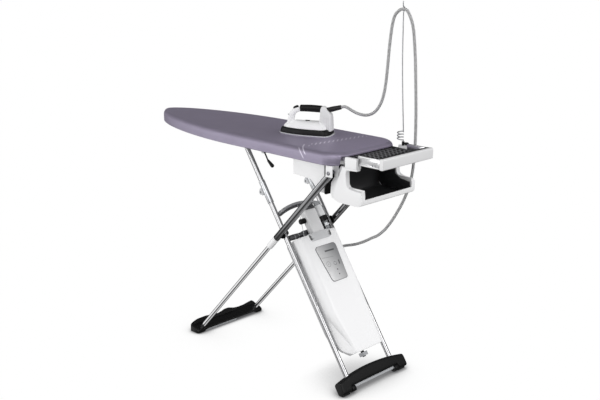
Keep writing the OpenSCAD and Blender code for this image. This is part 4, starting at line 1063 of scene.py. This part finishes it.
slab("panel_plate", "inner_legs", PANEL, "panel_grey", "control_panel",
     panel_line((-36, 47), 353, 57, 502, [14, 14, 16, 16]), 48.5, 51.9, "X", place=LEG_B, width=0.5)
slab("panel_border", "inner_legs", DARK, "panel_grey", "control_panel",
     panel_line((-37.6, 48.6), 351.4, 58.6, 503.4, [15, 15, 17, 17]), 48.0, 50.9, "X", place=LEG_B)
for name, y, node in (("power_key", -23, "power_button"), ("steam_key", 12, "steam_button")):
    lathe(name, node, PALE, "panel_grey", node,
          [(0, 45), (7.9, 45), (7.9, 51.4), (7.3, 52.1), (6.4, 51.9), (2.0, 51.5), (0, 51.4)],
          facing_out(y, 424))
for s in (394.5, 375.5):
    lathe("status_lamp_%d" % s, "inner_legs", LAMP, "panel_grey", "control_panel",
          [(0, 51.4), (2.6, 51.4), (2.6, 52.0), (1.8, 52.4), (0, 52.5)], facing_out(10.8, s))
lathe("drain_neck", "inner_legs", BLACK, "grey_plastic", "housing_back",
      [(0, 40), (7, 40), (7, 64.6), (0, 64.6)], set_at(LEG_B, (-8, 10, 0)))


# ---- Between the legs: pump, column, cartridge ----
def make_pump():
    """The pump: a short ribbed barrel that lies across."""
    profile = [(0, -48), (7.4, -48), (8, -47.4)]
    for y in (-46, -39, -32, -25):
        profile += [(8, y), (10.2, y), (11, y + 0.8), (11, y + 3.2), (10.2, y + 4), (8, y + 4)]
    lathe("pump_body", "inner_legs", BLACK, "black_plastic", "pump", profile + [(8, -20.4), (0, -20.4)],
          set_at(LEG_B, (24, 0, 623.6), -90))


def column_part(name, finish, outline, low, high, axis="Z", width=1.0, segments=2):
    slab(name, "inner_legs", finish, "grey_plastic", "tank_column", outline, low, high, axis, place=LEG_B,
         width=width, segments=segments)


make_pump()
column_part("column_body", COLUMN, box_line((12, -22), (46, 42), 8, 6), 529, 660, width=2.0, segments=3)
column_part("column_cap", BLACK, box_line((12.6, -19.4), (45.4, 41.4), 7.6, 6), 661.6, 671.6,
            width=2.6, segments=3)
# painted shade: the column's base and wall plate take the dark lacquer for the shade in the recess around the
# column's foot
column_part("column_base_painted_shade", DARK, box_line((2, -57.7), (46.5, 59.7), 6, 5), 524, 528.8)
column_part("column_wall_painted_shade", DARK, box_line((-57.6, 528.8), (59.6, 558)), 24, 29, "X", width=0.8)
collar = [(-57.6, 562), (-57.6, 529), (59.6, 529), (59.6, 562), (50, 562), (50, 540), (-48, 540), (-48, 562)]
column_part("column_collar", PALE, rounded(collar, [2, 16, 16, 2, 2, 12, 12, 2], 7), 30, 50.6, "X",
            width=1.6, segments=3)
boxes("column_bracket", "inner_legs", DARK, "grey_plastic", "tank_column",
      ((10, -18, 660.5), (48.5, 34, 668)), ((6, 30, 664), (30, 52, 684)), place=LEG_B, width=1.5)

cartridge = set_at(LEG_B, (30, 70, 0))
lathe("clamp_ring", "inner_legs", BLACK, "black_plastic", "cartridge_clamp",
      [(15.5, 597.6), (20, 597.6), (21, 598.6), (21, 618.6), (20, 619.6), (15.5, 619.6), (15.5, 597.6)],
      cartridge)
boxes("clamp_lug", "inner_legs", BLACK, "black_plastic", "cartridge_clamp",
      ((22, 42.2, 600.6), (34, 54, 616.6)), ((26, 43, 568), (42, 54, 592)), place=LEG_B, width=1.2)
for name, finish, profile in (
        ("cartridge_neck", CLEAR, [(0, 560.5), (11, 560.5), (12.6, 562), (12.6, 592), (14.5, 596), (16, 598),
                                   (16, 621), (0, 621)]),
        ("cartridge_body", MILKY, [(0, 620), (16.2, 620), (17, 621), (17, 664), (16, 666.6), (14.6, 667.4),
                                   (0, 667.6)]),
        ("cartridge_cap", GREY, [(0, 667.4), (12, 667.4), (12, 676), (11.4, 676.8), (11.4, 679), (12, 679.8),
                                 (12, 684.4), (11, 685.6), (0, 685.6)])):
    lathe(name, "filter_cartridge", finish, "clear_plastic", "filter_cartridge", profile, cartridge)
slab("drain_cap_piece", "drain_cap", GREY, "grey_plastic", "drain_cap", box_line((-21, -3), (5, 24), 3, 4),
     43.5, 58.5, place=LEG_B, width=1.6, segments=3)
refined("hose_gland", "inner_legs", PALE, "black_plastic", 1.2, 3)

# ---- Iron rest ----
REST_Y = 141.0
slab("rest_bar", "iron_rest", SILVER, "silver_paint", "tray_bar",
     box_line((684, 894), (702, 934), [4, 5, 7, 5]), -REST_Y, REST_Y, "Y", width=1.0, segments=3, angle=50)
boxes("rest_lip", "iron_rest", BLACK, "black_rubber", "tray_mat",
      ((679.5, -132.8, 905.5), (684.6, 132.8, 934.6)), ((679.5, -132.8, 931.5), (689.5, 132.8, 934.8)),
      ((594, 136.8, 905), (683, 138.8, 929)), width=0.7)
for side in (-1, 1):
    y = side * REST_Y
    # the far lips stop short of the mast's knob when the rest is pushed in
    start = 592 if side < 0 else 646
    boxes("rail_lips_%d" % (side + 1), "iron_rest", WHITE, "chrome", "tray_rails",
          *[((start, y - 0.5, low), (683, y + 0.5, high)) for low, high in ((897.2, 900.6), (926.6, 930.6))],
          width=0.6)
    bm = bmesh.new()
    for x in (652, 664):
        rod(bm, (x, y - side * 0.4, 906), (x, y + side * 0.6, 906), 2.4, sides=20)
    made("rail_screws_%d" % (side + 1), bm, "iron_rest", DARK_STEEL, "chrome", "tray_rails")
refined("tray_rails", "iron_rest", LEG_CHROME, "chrome", 0.9, 3)
refined("tray_mat", "iron_rest", MAT, "black_rubber", 1.2, 3)

# ---- Tail brackets, basket and mast ----
refined("tail_brackets", "board", WHITE, "white_plastic", 2.2, 4)
refined("basket_shell", "board", WHITE, "white_plastic", 2.4, 4)
refined("basket_liner", "board", LINER_PAINTED_LIGHT, "black_plastic", 0.8)
refined("mast_socket", "board", BLACK, "black_plastic", 0.8)
refined("mast_knob", "mast_knob", BLACK, "black_plastic", 0.6)

MAST_X, MAST_Y, COIL_R, RING_R = 556, 147, 11, 8.05
corner = COIL_R * math.cos(down(45))
knots = [(MAST_X, MAST_Y, 924), (MAST_X, MAST_Y, 932), (MAST_X, MAST_Y, 938)]
for i in range(37):
    a = down(45 - i * 30)
    knots.append((MAST_X - corner + COIL_R * math.cos(a), MAST_Y - corner + COIL_R * math.sin(a),
                  941 + 11 * i / 12))
knots += [(x, MAST_Y, z) for x, z in ((555, 982), (549, 1084), (543, 1204), (541, 1312), (541, 1393))]
for i in range(7):
    a = down(30 * i - 90)
    knots.append((RING.x, RING.y + RING_R * math.cos(a), RING.z + RING_R * math.sin(a)))
knots += [(541, 144, 1438), (541, 145, 1452)]
skinned("mast_wire", "board", SATIN_STEEL, "chrome", "mast_rod",
        tube_rings(smooth_path(knots, 4), 2.0, 12, (1, 0, 0)))

# ---- Iron ----
SOLE_LEN, SOLE_HALF = 222, 55


def sole_half(t):
    """Half the sole's width, as a share, at a share of its length from the tip."""
    if t < 0.72:
        return max(0.0, 1 - (1 - t / 0.72) ** 1.9) ** 0.62
    return math.sqrt(max(0.0, 1 - 0.72 * ((t - 0.9) / 0.1) ** 2)) if t > 0.9 else 1.0


def sole_line(k):
    """The sole's outline, k times its size."""
    ts = [0.72 * (i / 22) ** 1.8 for i in range(23)]
    ts += [0.76, 0.8, 0.85, 0.9, 0.92, 0.94, 0.96, 0.975, 0.99, 1.0]
    near = [((t - 0.5) * SOLE_LEN * k, -sole_half(t) * SOLE_HALF * k) for t in ts]
    rear = [(near[-1][0], near[-1][1] * (1 - 2 * i / 6)) for i in range(1, 6)]
    return near + rear + [(x, -y) for x, y in reversed(near[1:])]


def iron_slab(name, steps, finish, slot, node):
    """A layer of the iron over its sole, from rows of (size, height)."""
    rings = [[Vector((x, y, z)) for x, y in sole_line(k)] for k, z in steps]
    skinned(name, "iron", finish, slot, node, rings, place=IRON)


def make_iron_body():
    """The iron's white shell: a pointed dome over the sole, pulled up into a ridge."""
    rings = [[Vector((x, y, 26.0)) for x, y in sole_line(0.82)]]
    base = sole_line(0.83)
    for step in range(15):
        turn = step / 14 * math.pi / 2
        z = 26.6 + 27.0 * math.sin(turn) ** 1.05
        shrink = math.cos(turn) ** 1.2
        keep = max(0.1, shrink) ** 0.95
        rings.append([Vector((mix(min(62.0, max(-40.0, x * 0.75)), x, keep), y * mix(0.18, 1.0, shrink), z))
                      for x, y in base])
    skinned("iron_shell", "iron", GLOSS, "white_gloss", "iron_body", rings, place=IRON, smooth=45)


def iron_tube(name, body, finish, slot, node, path, sizes, section, **more):
    """A bar of the iron along a path, sized by a table of (share of the path, scale)."""
    skinned(name, body, finish, slot, node,
            tube_rings(path, lambda t: along(sizes, t), len(section), (0, 1, 0), section=section),
            place=IRON, **more)


iron_slab("soleplate", ((0.97, 0.0), (0.995, 0.6), (1.0, 1.8), (1.0, 4.4), (0.99, 5.0)), SOLE_STEEL, "chrome",
          "iron_soleplate")
iron_slab("heat_shield", ((0.955, 5.0), (0.96, 6.2), (0.95, 12.0), (0.93, 19.0), (0.90, 24.0), (0.865, 26.6),
                          (0.83, 27.0)), BLACK, "black_plastic", "iron_shield")
make_iron_body()
iron_tube("iron_arch", "iron", GLOSS, "white_gloss", "iron_body",
          smooth_path([(-65, 0, 26), (-63, 0, 44), (-60, 0, 62), (-55, 0, 78), (-46, 0, 89), (-34, 0, 95.5),
                       (-19, 0, 98)], 6),
          [(0, 1.3), (0.25, 1.14), (0.5, 1.0), (0.75, 0.86), (1, 0.8)], oblong(11.0, 11.5, 2.6, 28))
lamp_frame = set_at(IRON, (-69.2, -8.6, 76), 90)
lathe("iron_lamp", "iron", GREY, "white_gloss", "iron_body",
      [(0, 0), (2.6, 0), (2.6, 0.8), (2.0, 1.2), (0, 1.2)], set_at(lamp_frame, (0, 0, 0), -25, "Y"))
iron_tube("iron_handle", "iron", SOFT_BLACK, "black_grip", "iron_grip",
          [(x, 0, 101.5 + 1.2 * math.sin((x + 22) / 88 * math.pi)) for x in range(-22, 67, 4)],
          [(0, 0.97), (0.15, 0.96), (0.5, 1.0), (1, 0.98)], oblong(13.2, 13.8, 2.3, 32), width=2.0)
# The rear block, as (height, front, back, half width)
REAR = ((20.5, 60, 109, 25), (32, 60, 109, 24), (52, 60, 108.6, 21.5), (72, 61, 108, 19),
        (83, 61.5, 106.6, 17.4), (88, 61.8, 102.6, 16.8), (94, 62, 97.5, 16), (100, 62.3, 92.4, 15.2),
        (105.5, 62.8, 87.5, 14.2), (110, 64, 82.5, 12.6), (112.6, 66.5, 79, 10.2), (113.4, 69, 77, 8))
skinned("iron_rear", "iron", COLUMN, "white_gloss", "iron_body",
        [[Vector((x, y, z)) for x, y in box_line((front, -half), (back, half), [5, 8, 8, 5], 6)]
         for z, front, back, half in REAR], place=IRON, smooth=28)
for i in range(5):
    bm = bmesh.new()
    rod(bm, (74 + i * 7.5, -24.6, 27), (74 + i * 7.0, -19.6, 74), 0.9, 0.7, 8)
    made("iron_rib_%d" % i, bm, "iron", WHITE, "white_gloss", "iron_body", IRON)
iron_tube("thumb_button", "iron_button", SOFT_BLACK, "black_grip", "iron_button",
          [(-51.5 + 4.1 * i, 0, 99.6 + 2.4 * i - 0.12 * i * i) for i in range(6)],
          [(0, 0.5), (0.2, 0.9), (0.5, 1.0), (0.8, 0.95), (1, 0.6)], oblong(6.4, 5.6, 2.4, 24), width=0.8)
refined("iron_dial", "iron_dial", SOFT_BLACK, "black_grip", 1.0, 3)
lathe("cable_boot", "iron", RUBBER, "black_rubber", "strain_relief",
      [(0, -20), (9.9, -20), (9.9, -2), (10.2, 0), (10.2, 9), (9.7, 10), (9.7, 12.4), (10.1, 13.4), (9.9, 17),
       (9.3, 18), (9.3, 20.4), (9.6, 21.4), (9.4, 25), (8.9, 26), (8.9, 28.4), (9.1, 29.4), (8.7, 38),
       (8.2, 41.6), (7.4, 42.2), (0, 42.2)], set_at(IRON, RELIEF_AT, 75, "Y"))


# ---- Stage and light ----
def make_stage():
    """A glowing white floor with painted contact shadow: its glow darkens softly only close to what stands on
    it.
    """
    bm = bmesh.new()
    bmesh.ops.create_grid(bm, x_segments=1, y_segments=1, size=12000.0)
    floor = to_object("floor", bm, WORLD)
    floor.location.z = -0.0004
    finish = Finish("floor_white_painted_shadow", Specular_IOR_Level=0.0, Roughness=1.0, Emission_Strength=1.0)
    # painted shadow: ambient occlusion darkens the floor's glow towards grey close to what stands on it
    near = finish.node("ShaderNodeAmbientOcclusion", {"samples": 16}, {"Distance": 0.06}, 1)
    wide = finish.node("ShaderNodeAmbientOcclusion", {"samples": 16}, {"Distance": 0.2}, 1)
    light = near.fade(0.05, 0.97) * 0.5 + wide.fade(0.55, 0.985) * 0.5
    finish.feed("Emission Color", finish.blend(light, shade(84, 84, 86), (1.0, 1.0, 1.0, 1.0)))
    finish.feed("Base Color", finish.blend(finish.noise(2.0), shade(2, 2, 2), shade(4, 4, 4)))
    floor.data.materials.append(finish.material)
    floor.visible_glossy = floor.visible_diffuse = False


def lamp(name, place, target, size, power):
    """A rectangular lamp, aimed at a point."""
    data = bpy.data.lights.new(name, "AREA")
    data.shape, data.size, data.size_y, data.energy = "RECTANGLE", size[0], size[1], power
    light = bpy.data.objects.new(name, data)
    aim = (Vector(target) - Vector(place)).to_track_quat("-Z", "Y")
    light.matrix_world = Matrix.Translation(place) @ aim.to_matrix().to_4x4()
    bpy.context.scene.collection.objects.link(light)


def make_world():
    """White behind the object, a soft broad light on dull surfaces, and bright panels for glossy ones."""
    world = bpy.data.worlds.new("studio")
    bpy.context.scene.world = world
    world.use_nodes = True
    room = Nodes(world.node_tree)
    x, y, z = room.xyz(room.node("ShaderNodeTexCoord"))

    def towards(a, b, c):
        return x * a + y * b + z * c
    soft = towards(0.78, 0.48, 0.40).fade(0.15, 0.98) * 1.05
    soft = soft + towards(-0.35, -0.93, 0.05).fade(0.15, 0.98) * 0.95
    soft = soft + z.fade(0.3, 1.0) * 0.12 + 0.14
    shine = towards(0.50, -0.69, 0.53).fade(0.78, 0.93) * 1.9
    shine = shine + towards(-0.76, -0.62, -0.2).fade(0.84, 0.94) * 0.85
    shine = shine + towards(0.05, 0.05, -1.0).fade(0.88, 0.99) * 0.55
    shine = shine + towards(0.5, 0.75, 0.5).fade(0.9, 0.97) * 0.2 + 0.1
    seen, glossy = [room.node("ShaderNodeLightPath", output=i) for i in (0, 3)]

    def light(strength):
        return room.node("ShaderNodeBackground", None, {"Color": (1, 1, 1, 1), "Strength": strength})
    lit = room.node("ShaderNodeMixShader", None, {0: glossy, 1: light(soft), 2: light(shine)})
    shown = room.node("ShaderNodeMixShader", None, {0: seen, 1: lit, 2: light(1.0)})
    room.node("ShaderNodeOutputWorld", None, {"Surface": shown})


make_stage()
make_world()
lamp("key", (3.2, 1.1, 2.0), (0.1, 0, 0.6), (1.1, 1.1), 22)
lamp("side", (-1.0, -3.3, 1.2), (0.2, 0, 0.6), (0.8, 2.2), 20)
lamp("rim", (-2.6, -1.6, 1.5), (0, 0, 0.6), (0.5, 2.0), 6)
bpy.context.scene.view_settings.view_transform = "Standard"
bpy.context.scene.view_settings.look = "None"
